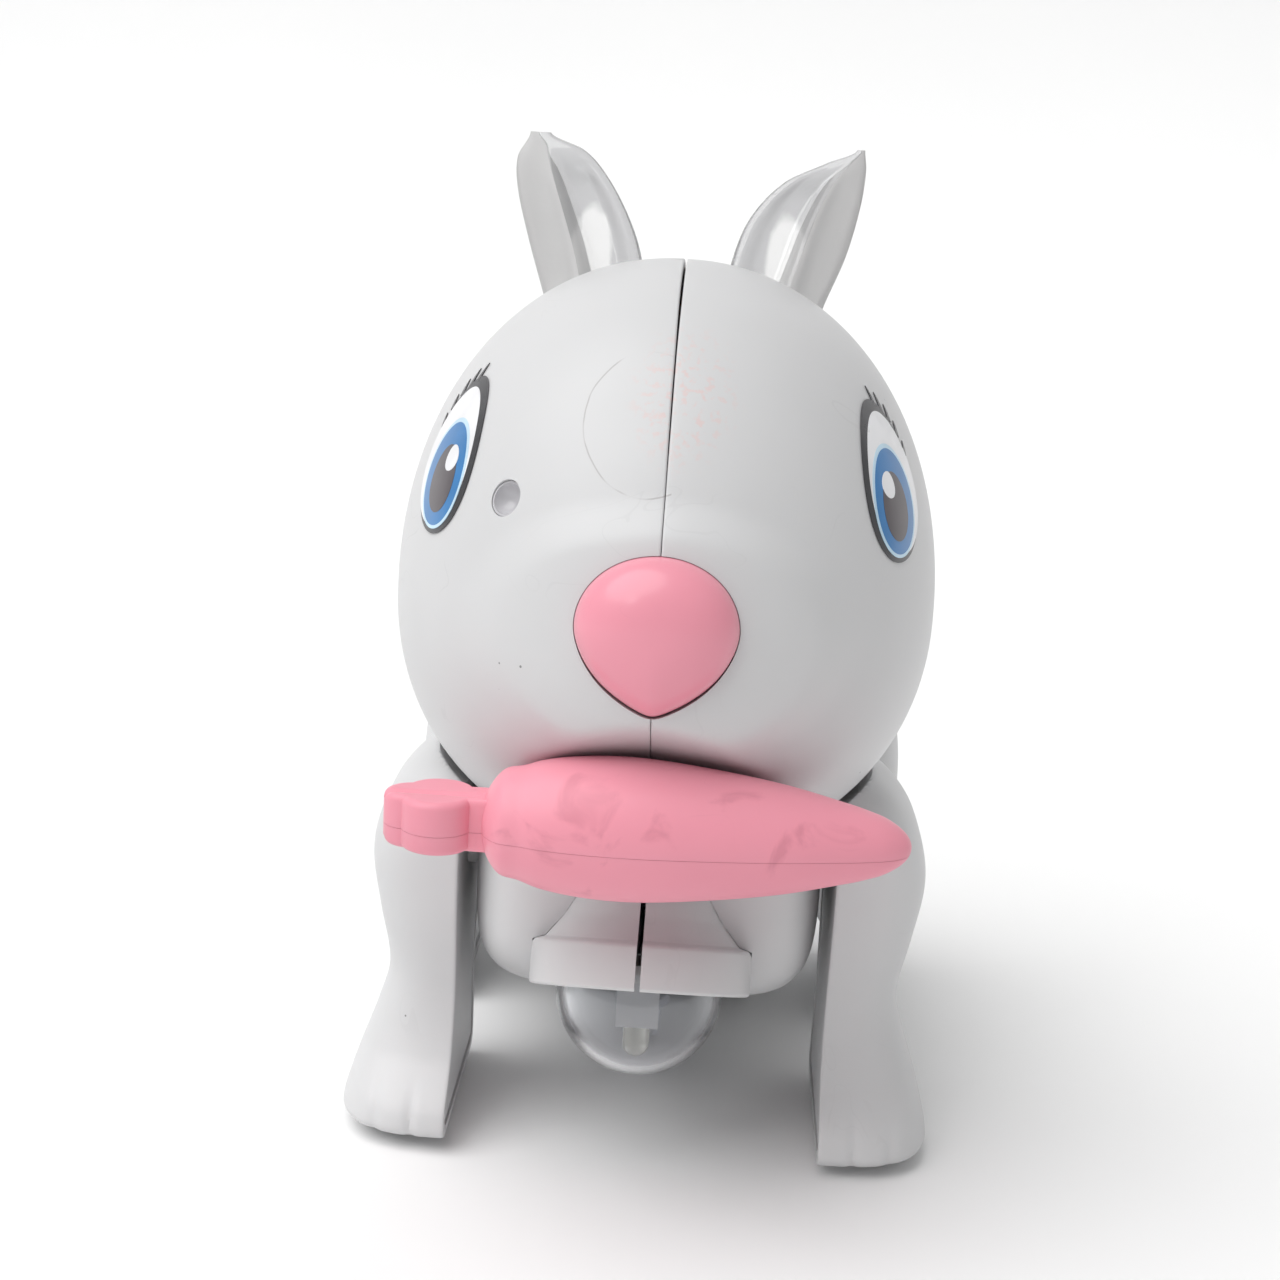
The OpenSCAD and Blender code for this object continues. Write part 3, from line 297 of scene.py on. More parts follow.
def soften(outline, radii, steps):
    """Rounds each corner of a closed outline by its own radius."""
    n = len(outline)
    made = []
    for k in range(n):
        here = np.array(outline[k], float)
        before = np.array(outline[k - 1], float) - here
        after = np.array(outline[(k + 1) % n], float) - here
        r = radii[k]
        a, b = np.linalg.norm(before), np.linalg.norm(after)
        half = math.acos(max(-1, min(1, before @ after / a / b))) / 2
        if r <= 0 or half > 1.5:
            made.append(here)
            continue
        reach = min(r / math.tan(half), a * 0.45, b * 0.45)
        r = reach * math.tan(half)
        middle = before / a + after / b
        centre = here + middle / np.linalg.norm(middle) * r / math.sin(half)
        p = here + before / a * reach - centre
        q = here + after / b * reach - centre
        for i in range(steps + 1):
            mix = p * (1 - i / steps) + q * i / steps
            made.append(centre + mix / np.linalg.norm(mix) * r)
    return made


def prism(outline, bottom, top):
    """Flat outline in XY raised along Z."""
    n = len(outline)
    ring = np.array(outline, float)
    points = np.concatenate([np.column_stack([ring, np.full(n, bottom)]),
                             np.column_stack([ring, np.full(n, top)])])
    faces = [[j, (j + 1) % n, n + (j + 1) % n, n + j] for j in range(n)]
    faces += [list(range(n))[::-1], list(range(n, 2 * n))]
    return points, faces


def circle(r, x=0.0, y=0.0, steps=48):
    a = np.linspace(0, 2 * np.pi, steps, endpoint=False)
    return np.stack([x + r * np.cos(a), y + r * np.sin(a)], -1)


def block(lowest, highest):
    x0, y0, z0 = lowest
    x1, y1, z1 = highest
    return prism([[x0, y0], [x1, y0], [x1, y1], [x0, y1]], z0, z1)


def placed(solid, matrix):
    points, faces = solid
    m = np.array(matrix)
    return points @ m[:3, :3].T + m[:3, 3], faces


def along_x(at, x0, x1, r):
    """Cutter or pin along X through a (Y, Z) place."""
    solid = prism(circle(r), x0, x1)
    turn = Matrix(((0, 0, 1, 0), (1, 0, 0, at[0]), (0, 1, 0, at[1]), (0, 0, 0, 1)))
    return placed(solid, turn)


def joined(*solids):
    points = []
    faces = []
    count = 0
    for p, f in solids:
        points.append(np.asarray(p, float))
        faces += [[i + count for i in face] for face in f]
        count += len(p)
    return np.concatenate(points), faces


def mirrored(solid):
    points, faces = solid
    return points * np.array([-1, 1, 1]), [face[::-1] for face in faces]


def new_object(name, solid):
    points, faces = solid
    mesh = bpy.data.meshes.new(name)
    mesh.from_pydata((np.asarray(points) * MM).tolist(), [], faces)
    mesh.update()
    made = bpy.data.objects.new(name, mesh)
    bpy.context.scene.collection.objects.link(made)
    return made


def outward(made):
    """Welds stacked points and turns every face outward."""
    work = bmesh.new()
    work.from_mesh(made.data)
    bmesh.ops.remove_doubles(work, verts=work.verts, dist=1e-7)
    bmesh.ops.dissolve_degenerate(work, edges=work.edges, dist=1e-7)
    bmesh.ops.recalc_face_normals(work, faces=work.faces)
    work.to_mesh(made.data)
    work.free()


def apply_modifiers(made):
    bpy.context.view_layer.update()
    graph = bpy.context.evaluated_depsgraph_get()
    mesh = bpy.data.meshes.new_from_object(made.evaluated_get(graph))
    made.modifiers.clear()
    made.data = mesh


def combine(made, operation, *solids):
    """Joins solids to a closed mesh, or takes them out of it."""
    for solid in solids:
        tool = new_object("tool", solid)
        outward(tool)
        modifier = made.modifiers.new("combine", "BOOLEAN")
        modifier.operation = operation
        modifier.solver = "MANIFOLD"
        modifier.object = tool
        apply_modifiers(made)
        bpy.data.objects.remove(tool)


def finish_piece(made, body, materials, nodes=(), crease=32):
    """Shades a piece, gives it its materials and hangs it on its body."""
    made.data.polygons.foreach_set("use_smooth", [True] * len(made.data.polygons))
    made.data.set_sharp_from_angle(angle=math.radians(crease))
    made.data.materials.clear()
    for material in materials:
        made.data.materials.append(material)
    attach(made, body)
    if nodes:
        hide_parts(*nodes)
    return made


def piece(name, solid, body, materials, nodes=(), crease=32, cutters=()):
    made = new_object(name, solid)
    outward(made)
    combine(made, "DIFFERENCE", *cutters)
    return finish_piece(made, body, materials, nodes, crease)


# Node helpers and the shader groups that several materials share

def wire(tree, node, values):
    """Sets inputs of a node, or links them where the value is another node's output."""
    for key, value in values.items():
        if isinstance(value, bpy.types.NodeSocket):
            tree.links.new(value, node.inputs[key])
        else:
            node.inputs[key].default_value = value


def add(tree, kind, inputs=None, **settings):
    made = tree.nodes.new(kind)
    for key, value in settings.items():
        setattr(made, key, value)
    wire(tree, made, inputs or {})
    return made


def calc(tree, operation, a, b=0.0, clamp=False):
    return add(tree, "ShaderNodeMath", {0: a, 1: b}, operation=operation, use_clamp=clamp).outputs[0]


def product(tree, first, *rest):
    for value in rest:
        first = calc(tree, "MULTIPLY", first, value)
    return first


def total(tree, first, *rest):
    for value in rest:
        first = calc(tree, "ADD", first, value)
    return first


def less(tree, a, b):
    return calc(tree, "SUBTRACT", a, b)


def noise(tree, vector, scale, detail, distortion=0.0):
    values = {"Vector": vector, "Scale": scale, "Detail": detail, "Distortion": distortion}
    return add(tree, "ShaderNodeTexNoise", values).outputs[0]


def blend_colours(tree, factor, a, b):
    mix = add(tree, "ShaderNodeMix", {0: factor, 6: a, 7: b}, data_type="RGBA")
    return mix.outputs[2]


def ramp(tree, value, start, end):
    """0 at start and 1 at end, smooth between them."""
    values = {0: value, 1: start, 2: end}
    return add(tree, "ShaderNodeMapRange", values, interpolation_type="SMOOTHSTEP").outputs[0]


def new_group(name, numbers, outputs):
    """Shader group with a vector input, named number inputs and number outputs."""
    group = bpy.data.node_groups.new(name, "ShaderNodeTree")
    group.interface.new_socket("Vector", in_out="INPUT", socket_type="NodeSocketVector")
    for label, value in numbers.items():
        socket = group.interface.new_socket(label, in_out="INPUT", socket_type="NodeSocketFloat")
        socket.default_value = value
    for label in outputs:
        group.interface.new_socket(label, in_out="OUTPUT", socket_type="NodeSocketFloat")
    return group, add(group, "NodeGroupInput").outputs, add(group, "NodeGroupOutput")


def dust_specks():
    """Mask of small dark specks, a few to each square centimetre."""
    group, given, out = new_group("dust_specks", {"Scale": 260.0, "Share": 0.1, "Size": 0.06}, ["Mask"])
    cells = add(group, "ShaderNodeTexVoronoi", {"Vector": given["Vector"], "Scale": given["Scale"]},
                voronoi_dimensions="3D")
    chance = add(group, "ShaderNodeSeparateColor", {0: cells.outputs["Color"]}).outputs
    chosen = calc(group, "LESS_THAN", chance[0], given["Share"])
    own_size = product(group, given["Size"], total(group, chance[1], 0.35))
    near = less(group, own_size, cells.outputs["Distance"])
    dot = calc(group, "MULTIPLY", near, 60.0, clamp=True)
    wire(group, out, {"Mask": product(group, dot, chosen)})
    return group


def fine_scratches():
    """Mask of thin wandering scratches, in patches."""
    group, given, out = new_group("fine_scratches", {"Scale": 45.0, "Width": 0.004, "Cover": 0.5}, ["Mask"])
    lines = noise(group, given["Vector"], given["Scale"], 1.0, 1.6)
    away = calc(group, "ABSOLUTE", less(group, lines, 0.5))
    line = calc(group, "LESS_THAN", away, given["Width"])
    patches = noise(group, given["Vector"], product(group, given["Scale"], 0.7), 2.0)
    here = ramp(group, patches, given["Cover"], total(group, given["Cover"], 0.12))
    wire(group, out, {"Mask": product(group, line, here)})
    return group


def moulded_surface():
    """Fine grain and slow waviness of a moulded plastic wall: a height and a tone, 0 to 1."""
    group, given, out = new_group("moulded_surface", {"Grain": 1400.0, "Waves": 28.0}, ["Height", "Tone"])
    grain = noise(group, given["Vector"], given["Grain"], 2.0)
    waves = noise(group, given["Vector"], given["Waves"], 2.0)
    wire(group, out, {"Height": total(group, product(group, grain, 0.18), waves), "Tone": waves})
    return group


GROUPS = {}


def shared(tree, build, vector, **values):
    """Places a shared shader group in a material with this material's own values."""
    name = build.__name__
    if name not in GROUPS:
        GROUPS[name] = build()
    inputs = {key.capitalize(): value for key, value in values.items()}
    return add(tree, "ShaderNodeGroup", {"Vector": vector, **inputs}, node_tree=GROUPS[name]).outputs


def blank_material(name):
    material = bpy.data.materials.new(name)
    material.use_nodes = True
    tree = material.node_tree
    tree.nodes.clear()
    shader = add(tree, "ShaderNodeBsdfPrincipled")
    out = add(tree, "ShaderNodeOutputMaterial", {0: shader.outputs[0]})
    out.location = (300, 0)
    vector = add(tree, "ShaderNodeTexCoord").outputs["Object"]
    return material, tree, shader, vector


def tint(colour, share=1.0):
    """Colour with its alpha, at a share of its brightness."""
    return (*[c * share for c in colour], 1.0)


def bumped(tree, strength, distance, height):
    values = {"Strength": strength, "Distance": distance, "Height": height}
    return add(tree, "ShaderNodeBump", values).outputs[0]


def moulded(name, colour, roughness, tone=0.05, bump=0.12, specks=0.05, speck_size=0.05,
            scratches=0.55, coat=0.0, soft=0.0, marks_and_highlight=None):
    """Moulded plastic: slight tone changes, fine grain, dust specks and light scratches."""
    material, tree, shader, vector = blank_material(name)
    wall = shared(tree, moulded_surface, vector)
    paint = blend_colours(tree, ramp(tree, wall["Tone"], 0.35, 0.68), tint(colour), tint(colour, 1 - tone))
    scratched = shared(tree, fine_scratches, vector, cover=scratches)[0]
    paint = blend_colours(tree, product(tree, scratched, 0.35), paint, tint(colour, 0.9))
    dust = shared(tree, dust_specks, vector, share=specks, size=speck_size)[0]
    paint = blend_colours(tree, product(tree, dust, 0.75), paint, tint(colour, 0.16))
    if marks_and_highlight:
        paint = marks_and_highlight(tree, vector, paint)
    uneven = total(tree, product(tree, wall["Tone"], 0.12), roughness - 0.06)
    wire(tree, shader, {
        "Base Color": paint,
        "Roughness": total(tree, product(tree, scratched, 0.14), uneven),
        "Normal": bumped(tree, bump, 0.0004, wall["Height"]),
        "IOR": 1.46,
        "Specular IOR Level": 0.35,
        "Coat Weight": coat,
        "Coat Roughness": 0.12,
        "Subsurface Weight": soft,
        "Subsurface Radius": (1.0, 0.85, 0.75),
        "Subsurface Scale": 0.003,
    })
    return material


def squares(tree, a, b):
    return total(tree, product(tree, a, a), product(tree, b, b))


def forehead_marks(tree, vector, paint):
    """A hair-thin ring scratch on the forehead and a faint pink rub mark by the seam."""
    x, y, z = add(tree, "ShaderNodeSeparateXYZ", {0: vector}).outputs
    front = calc(tree, "LESS_THAN", y, (HEAD_Y - 30) * MM)
    wander = noise(tree, vector, 90.0, 2.0)
    away = calc(tree, "SQRT", squares(tree, less(tree, x, -0.0035), less(tree, z, 0.1475)))
    uneven = total(tree, away, product(tree, wander, 0.0016))
    ring = calc(tree, "LESS_THAN", calc(tree, "ABSOLUTE", less(tree, uneven, 0.0122)), 0.00012)
    left_side = calc(tree, "LESS_THAN", x, 0.001)
    broken = ramp(tree, wander, 0.4, 0.5)
    scratch = product(tree, ring, front, left_side, broken, 0.5)
    paint = blend_colours(tree, scratch, paint, (0.32, 0.3, 0.3, 1))
    rub_x = product(tree, less(tree, x, 0.002), 90.0)
    rub_z = product(tree, less(tree, z, 0.152), 75.0)
    patch = less(tree, 1.0, ramp(tree, squares(tree, rub_x, rub_z), 0.0, 1.0))
    smear = ramp(tree, noise(tree, vector, 700.0, 4.0), 0.5, 0.66)
    return blend_colours(tree, product(tree, patch, smear, front, 0.3), paint, (0.8, 0.42, 0.38, 1))


def carrot_marks(tree, vector, paint):
    """Rubbed dark smudges along the top of the carrot."""
    smear = ramp(tree, noise(tree, vector, 75.0, 5.0, 0.6), 0.62, 0.72)
    return blend_colours(tree, product(tree, smear, 0.3), paint, (0.42, 0.12, 0.16, 1))


def painted_ear_highlight(tree, vector, paint):
    """Painted highlight: a white arch painted into the colour low in the hollow of an ear, in place of the
    bright glint seen there.
    """
    x, y, z = add(tree, "ShaderNodeSeparateXYZ", {0: vector}).outputs
    across = product(tree, less(tree, calc(tree, "ABSOLUTE", x), 0.0196), 230.0)
    up = product(tree, less(tree, z, (HEAD_TOP - 1.5) * MM), 95.0)
    edge = total(tree, squares(tree, across, up), product(tree, noise(tree, vector, 420.0, 3.0), 0.5))
    # painted highlight: the arch is filled with plain white in the base colour
    painted_highlight = less(tree, 1.0, ramp(tree, edge, 0.85, 1.3))
    return blend_colours(tree, painted_highlight, paint, (1.0, 1.0, 1.0, 1))


def clear_plastic(name, colour, roughness, bump=0.05, clearness=1.0, marks_and_highlight=None):
    """Clear or frosted styrene: faint flow waviness and light scratches in the gloss."""
    material, tree, shader, vector = blank_material(name)
    wall = shared(tree, moulded_surface, vector, waves=55.0)
    scratched = shared(tree, fine_scratches, vector, scale=70.0, cover=0.5)[0]
    paint = blend_colours(tree, ramp(tree, wall["Tone"], 0.3, 0.7), tint(colour), tint(colour, 0.97))
    # Paints extra colour: real marks on the white and pink plastics, and a painted highlight on the clear
    # ears.
    if marks_and_highlight:
        paint = marks_and_highlight(tree, vector, paint)
    uneven = total(tree, product(tree, wall["Tone"], 0.04), roughness)
    wire(tree, shader, {
        "Base Color": paint,
        "Roughness": total(tree, product(tree, scratched, 0.15), uneven),
        "Normal": bumped(tree, bump, 0.0006, wall["Height"]),
        "IOR": 1.49,
        "Transmission Weight": clearness,
    })
    return material


def printed_ink(name, colour, roughness):
    """Glossy printed ink with a faint screen-print unevenness."""
    material, tree, shader, vector = blank_material(name)
    tone = shared(tree, moulded_surface, vector, grain=2600.0, waves=120.0)["Tone"]
    wire(tree, shader, {
        "Base Color": blend_colours(tree, ramp(tree, tone, 0.35, 0.65), tint(colour), tint(colour, 0.9)),
        "Roughness": total(tree, product(tree, tone, 0.1), roughness - 0.05),
        "Coat Weight": 0.4,
        "Coat Roughness": 0.15,
    })
    return material


def drawn_metal(name, colour, roughness):
    """Drawn or pressed metal with fine lines along it and faint stains."""
    material, tree, shader, vector = blank_material(name)
    stretch = add(tree, "ShaderNodeMapping", {"Vector": vector, "Scale": (30.0, 900.0, 900.0)}).outputs[0]
    lines = noise(tree, stretch, 1.0, 3.0)
    stains = ramp(tree, shared(tree, moulded_surface, vector, waves=90.0)["Tone"], 0.4, 0.7)
    wire(tree, shader, {
        "Base Color": blend_colours(tree, stains, tint(colour), tint(colour, 0.8)),
        "Roughness": total(tree, product(tree, lines, 0.2), roughness - 0.1),
        "Normal": bumped(tree, 0.15, 0.0002, lines),
        "Metallic": 1.0,
    })
    return material


# Each finish: how it is made, its colour or the name of a colour setting, roughness, and the rest
FINISHES = {
    "white_plastic": (moulded, "white", 0.4, {"tone": 0.025, "specks": 0.03, "soft": 0.1}),
    "head_plastic": (moulded, "white", 0.38, {"tone": 0.025, "specks": 0.055, "speck_size": 0.055,
                                              "soft": 0.1, "marks_and_highlight": forehead_marks}),
    "nose_plastic": (moulded, "pink", 0.3, {"tone": 0.04, "specks": 0.02, "coat": 0.25, "soft": 0.1}),
    "carrot_plastic": (moulded, "pink", 0.42, {"tone": 0.06, "specks": 0.12, "speck_size": 0.06,
                                               "soft": 0.1, "marks_and_highlight": carrot_marks}),
    # ear_clear carries a painted highlight, a white arch painted low in each ear's hollow.
    "ear_clear": (clear_plastic, (0.69, 0.69, 0.7), 0.07, {"clearness": 0.8, "marks_and_highlight": painted_ear_highlight}),
    "ear_frosted": (clear_plastic, (0.63, 0.625, 0.625), 0.42, {"bump": 0.2, "clearness": 0.3}),
    "dome_clear": (clear_plastic, (0.95, 0.96, 0.98), 0.03, {}),
    "lens_clear": (clear_plastic, (0.78, 0.77, 0.8), 0.16, {"clearness": 0.35}),
    "lamp_epoxy": (clear_plastic, (0.97, 0.96, 0.88), 0.08, {"clearness": 0.7}),
    "ink_black": (printed_ink, (0.03, 0.03, 0.035), 0.3, {}),
    "ink_white": (printed_ink, (0.86, 0.86, 0.88), 0.3, {}),
    "ink_pale_blue": (printed_ink, (0.56, 0.76, 0.9), 0.3, {}),
    "ink_blue": (printed_ink, "iris", 0.3, {}),
    "ink_pupil": (printed_ink, (0.075, 0.062, 0.07), 0.3, {}),
    "grey_plastic": (moulded, (0.55, 0.56, 0.6), 0.5, {}),
    "gear_plastic": (moulded, (0.78, 0.74, 0.66), 0.42, {"tone": 0.08}),
    "black_plastic": (moulded, (0.035, 0.035, 0.04), 0.45, {"specks": 0.0}),
    "tyre_rubber": (moulded, (0.045, 0.045, 0.048), 0.72, {"bump": 0.5, "specks": 0.0}),
    "board_green": (moulded, (0.03, 0.2, 0.08), 0.35, {"specks": 0.0}),
    "cell_jacket": (printed_ink, (0.08, 0.22, 0.5), 0.3, {}),
    "steel": (drawn_metal, (0.58, 0.58, 0.6), 0.34, {}),
    "motor_can": (drawn_metal, (0.66, 0.67, 0.69), 0.4, {}),
    "brass": (drawn_metal, (0.78, 0.56, 0.24), 0.32, {}),
}
MADE = {}


def finish(name):
    """Each finish is made once, the first time a piece asks for it."""
    if name not in MADE:
        maker, colour, roughness, more = FINISHES[name]
        if isinstance(colour, str):
            colour = getattr(bpy.context.scene.rabbit_finish, colour)
        MADE[name] = maker(name, colour, roughness, **more)
    return MADE[name]


# Sizes and colours that a user would change

class RabbitSizes(bpy.types.PropertyGroup):
    crown_gap: bpy.props.FloatProperty(
        name="Crown gap", description="Half width of the open seam over the crown, in mm",
        default=0.24, min=0.1, max=1.0)
    face_gap: bpy.props.FloatProperty(
        name="Face gap", description="Half width of the seam down the face, in mm",
        default=0.05, min=0.03, max=0.5)
    lip_radius: bpy.props.FloatProperty(
        name="Lip radius", description="Rounding of the half-shells' rims, in mm",
        default=0.4, min=0.1, max=1.0)
    scoop_depth: bpy.props.FloatProperty(
        name="Ear scoop", description="Depth of the hollow in an ear, as a share of its thickness",
        default=0.66, min=0.2, max=0.75)
    eye_tilt: bpy.props.FloatProperty(
        name="Eye tilt", description="How far the top of an eye leans to the rear",
        default=math.radians(12), subtype="ANGLE", unit="ROTATION")
    toe_depth: bpy.props.FloatProperty(
        name="Toe depth", description="Depth of the grooves between the toes, in mm",
        default=0.55, min=0.0, max=1.5)


class RabbitFinish(bpy.types.PropertyGroup):
    white: bpy.props.FloatVectorProperty(
        name="White plastic", description="Colour of the white mouldings", subtype="COLOR",
        default=(0.63, 0.63, 0.637), min=0.0, max=1.0)
    pink: bpy.props.FloatVectorProperty(
        name="Pink plastic", description="Colour of the nose and the carrot", subtype="COLOR",
        default=(0.84, 0.32, 0.4), min=0.0, max=1.0)
    iris: bpy.props.FloatVectorProperty(
        name="Iris ink", description="Colour of the blue of the eyes", subtype="COLOR",
        default=(0.02, 0.19, 0.48), min=0.0, max=1.0)


def sizes():
    return bpy.context.scene.rabbit_sizes


# Head

def rim_columns(width, middle_count):
    """Turn angle and skin offset of the columns round a half-shell with rounded rims."""
    radius = np.minimum(sizes().lip_radius, width * 0.3)[:, None]
    phi = np.linspace(0, np.pi / 2, 8)[None]
    out = radius * (1 - np.cos(phi))
    offset = radius * (1 - np.sin(phi))
    lip = np.arccos(np.clip(out / width[:, None], 0, 1))
    share = np.linspace(-1, 1, middle_count)[None, 1:-1]
    middle = lip[:, -1:] * share
    turn = np.concatenate([-lip, middle, lip[:, ::-1]], 1)
    w = np.concatenate([offset, np.zeros_like(middle), offset[:, ::-1]], 1)
    return turn, w


def head_seam(turn, level):
    """Half width of the seam: open on the crown, nearly shut down the face."""
    height = HEAD_Z + HEAD_UP * rounded(level, HEAD_POWER)[1]
    crown = 0.35 * smooth_step(136, 152, height) + 0.65 * smooth_step(158, 170, height)
    behind = smooth_step(-0.6, 0.6, turn)
    return sizes().face_gap + (sizes().crown_gap - sizes().face_gap) * np.maximum(crown, behind)


def head_half_solid():
    levels = np.radians(np.linspace(-86, 86, 180))
    width = (HEAD_HALF_W - 0.5) * rounded(levels, HEAD_POWER)[0]
    turn, w = rim_columns(width, 110)
    level = levels[:, None]
    outer = head_point(level, turn, w, head_seam(turn, level))
    inner_turn = np.radians(np.linspace(-90, 90, 60))[None]
    inner = head_point(level, inner_turn, np.full_like(level, WALL), head_seam(inner_turn, level))
    ends = np.array([-np.pi / 2, np.pi / 2])
    zero = np.zeros(2)
    return shell_mesh(outer, inner, head_point(ends, zero, zero), head_point(ends, zero, zero + WALL))


def nose_ring(scale, y, steps=112):
    a = np.linspace(0, 2 * np.pi, steps, endpoint=False)
    dip = np.maximum(-np.sin(a), 0)
    half_w = (high("nose")[0] - low("nose")[0]) / 2
    up = high("nose")[2] - NOSE_Z
    down = NOSE_Z - low("nose")[2]
    x = half_w * scale * np.cos(a) * (1 - 0.24 * dip ** 1.5 - 0.28 * dip ** 6)
    z = NOSE_Z + np.where(np.sin(a) > 0, up, down) * scale * np.sin(a)
    return np.stack([x, np.full(steps, y), z], -1)


def grown_ring(ring, gap):
    """Ring in an XZ plane pushed outward by a gap."""
    ahead = np.roll(ring, -1, 0) - np.roll(ring, 1, 0)
    out = np.stack([ahead[:, 2], np.zeros(len(ring)), -ahead[:, 0]], -1)
    return ring + out / np.linalg.norm(out, axis=1)[:, None] * gap


def nose_opening():
    rings = [grown_ring(nose_ring(1, y), 0.1) for y in (HEAD_Y - HEAD_FRONT + 12, HEAD_Y - HEAD_FRONT - 18)]
    return ring_mesh(np.array(rings))


EAR_EDGES = {
    (1, "outer"): [[0, 25.2], [8, 27.6], [18, 31.5], [28, 33.9], [35, 34.6], [39, 34.2]],
    (1, "inner"): [[0, 7.4], [8, 7.6], [17, 9], [25, 12.2], [32, 18.6], [36, 26.5], [39, 32.6]],
    (-1, "outer"): [[0, 26], [8, 28.8], [18, 32.4], [28, 35.4], [34, 35.8], [39, 33.6]],
    (-1, "inner"): [[0, 7.8], [8, 8], [17, 9.8], [25, 13.4], [32, 18.2], [36, 22.6], [39, 29.4]],
}


def ear_edge(side, edge, z):
    """Distance of an ear's edge from the middle of the head, by height over the ear's foot."""
    knots = EAR_EDGES[side, edge]
    return curve([[height * EAR_LEN / knots[-1][0], reach] for height, reach in knots], z)


def ear_ring(side, z, gap=0.0, steps=128):
    """Ear section: a flat outer blade, a fold, and a scooped inner side."""
    out = ear_edge(side, "outer", z) + gap
    inn = ear_edge(side, "inner", z) - gap
    f = z / EAR_LEN
    t = 4.5 * (1 - 0.6 * f) * (1 - 0.75 * f ** 9) + gap
    a = np.linspace(0, 2 * np.pi, steps, endpoint=False)
    across = np.cos(a)
    depth = np.sign(np.sin(a)) * np.abs(np.sin(a)) ** (2 / 2.6)
    y = EAR_Y + z * math.tan(math.radians(EAR_BACK)) + t * depth
    if gap == 0:
        u = (across + 1) / 2
        front = np.where(np.sin(a) < 0, np.abs(np.sin(a)) ** 0.5, 0)
        fade = smooth_step(0.12, 0.3, f) * (1 - smooth_step(0.72, 0.95, f))
        scoop = smooth_step(0.05, 0.24, u) * (1 - smooth_step(0.44, 0.57, u))
        fold = np.exp(-((u - 0.6) / 0.07) ** 2) * 0.12
        blade = smooth_step(0.62, 0.8, u) * (1 - smooth_step(0.84, 0.98, u)) * 0.08
        y = y + 2 * t * front * fade * (scoop * sizes().scoop_depth + blade - fold)
    return np.stack([side * ((out + inn) / 2 + (out - inn) / 2 * across), y,
                     np.full(steps, EAR_FOOT + z)], -1)


def ear_solid(side, top, gap=0.0, rows=90, steps=128):
    s = np.linspace(0, 1, rows)
    z = top * np.sin(s * np.pi / 2) if gap == 0 else top * s
    return ring_mesh(np.array([ear_ring(side, v, gap, steps) for v in z]))


def upright(r, x, y, z0, z1, steps=64):
    return prism(circle(r, x, y, steps), z0, z1)


def cheek_place():
    return (Matrix.Translation((27.5, HEAD_Y - HEAD_FRONT * 0.76, 133))
            @ Matrix.Rotation(math.radians(35), 4, "Z") @ Matrix.Rotation(math.radians(68), 4, "X"))


def on_side(solid, side):
    return solid if side > 0 else mirrored(solid)


class RABBIT_OT_head(bpy.types.Operator):
    """Head half-shells with a seam that opens over the crown"""
    bl_idname = "rabbit.head"
    bl_label = "Head half-shells"

    def execute(self, context):
        for side, name in ((1, "left"), (-1, "right")):
            ear_hole = ear_solid(side, 24, 0.3, 12, 64)
            neck = upright(NECK_R, 0, HEAD_Y, HEAD_Z - HEAD_DOWN - 5, HEAD_Z - HEAD_DOWN + 9)
            cutters = [nose_opening(), ear_hole, neck]
            if side < 0:
                cutters.append(mirrored(placed(prism(circle(3.35, steps=64), -12, 12), cheek_place())))
            piece("head_" + name, on_side(head_half_solid(), side), "toy",
                  [finish("head_plastic")], ["head_shell_" + name], 30, cutters)
        return {"FINISHED"}


class RABBIT_OT_nose(bpy.types.Operator):
    """Glossy nose, a rounded three-cornered dome set in the face"""
    bl_idname = "rabbit.nose"
    bl_label = "Nose"

    def execute(self, context):
        reach = NOSE_BASE - NOSE_FRONT
        rings = [nose_ring(1, NOSE_BASE), nose_ring(1, NOSE_BASE - reach * 0.2)]
        for angle in np.radians(np.linspace(0, 89, 34)):
            scale = math.cos(angle) ** 0.86
            rings.append(nose_ring(scale, NOSE_FRONT + reach * 0.66 * (1 - math.sin(angle))))
        piece("nose_dome", ring_mesh(np.array(rings)), "toy", [finish("nose_plastic")],
              ["nose"], 50)
        return {"FINISHED"}


# Eyes

def eye_place(p, q, w):
    """Point over the skin, p mm rearward and q mm above the middle of an eye."""
    s = (EYE_Z + np.asarray(q, float) - HEAD_Z) / HEAD_UP
    level = np.arctan2(s, (1 - np.abs(s) ** HEAD_POWER) ** (1 / HEAD_POWER))
    turn = np.radians(-90 + EYE_TURN + np.asarray(p, float) * 57.3 / 56)
    return head_point(level, turn, w)


def egg(centre, half_w, half_h, lean, narrow_top=0.0, steps=96):
    a = np.linspace(0, 2 * np.pi, steps, endpoint=False)
    p = half_w * np.cos(a) * (1 - narrow_top * np.sin(a))
    q = half_h * np.sin(a)
    return np.stack([centre[0] + p * np.cos(lean) + q * np.sin(lean),
                     centre[1] + q * np.cos(lean) - p * np.sin(lean)], -1)


def ink_patch(outline, height, rings=14):
    """Thin raised film of ink inside a (p, q) outline, following the skin under it."""
    middle = outline.mean(0)
    scales = np.linspace(0.02, 1, rings)
    nested = np.array([middle + (outline - middle) * s for s in scales])
    top = eye_place(nested[..., 0], nested[..., 1], -height)
    foot = eye_place(outline[:, 0], outline[:, 1], -0.05)
    back = eye_place(nested[0][:, 0], nested[0][:, 1], -0.05)
    return ring_mesh(np.concatenate([top, foot[None], back[None]]))


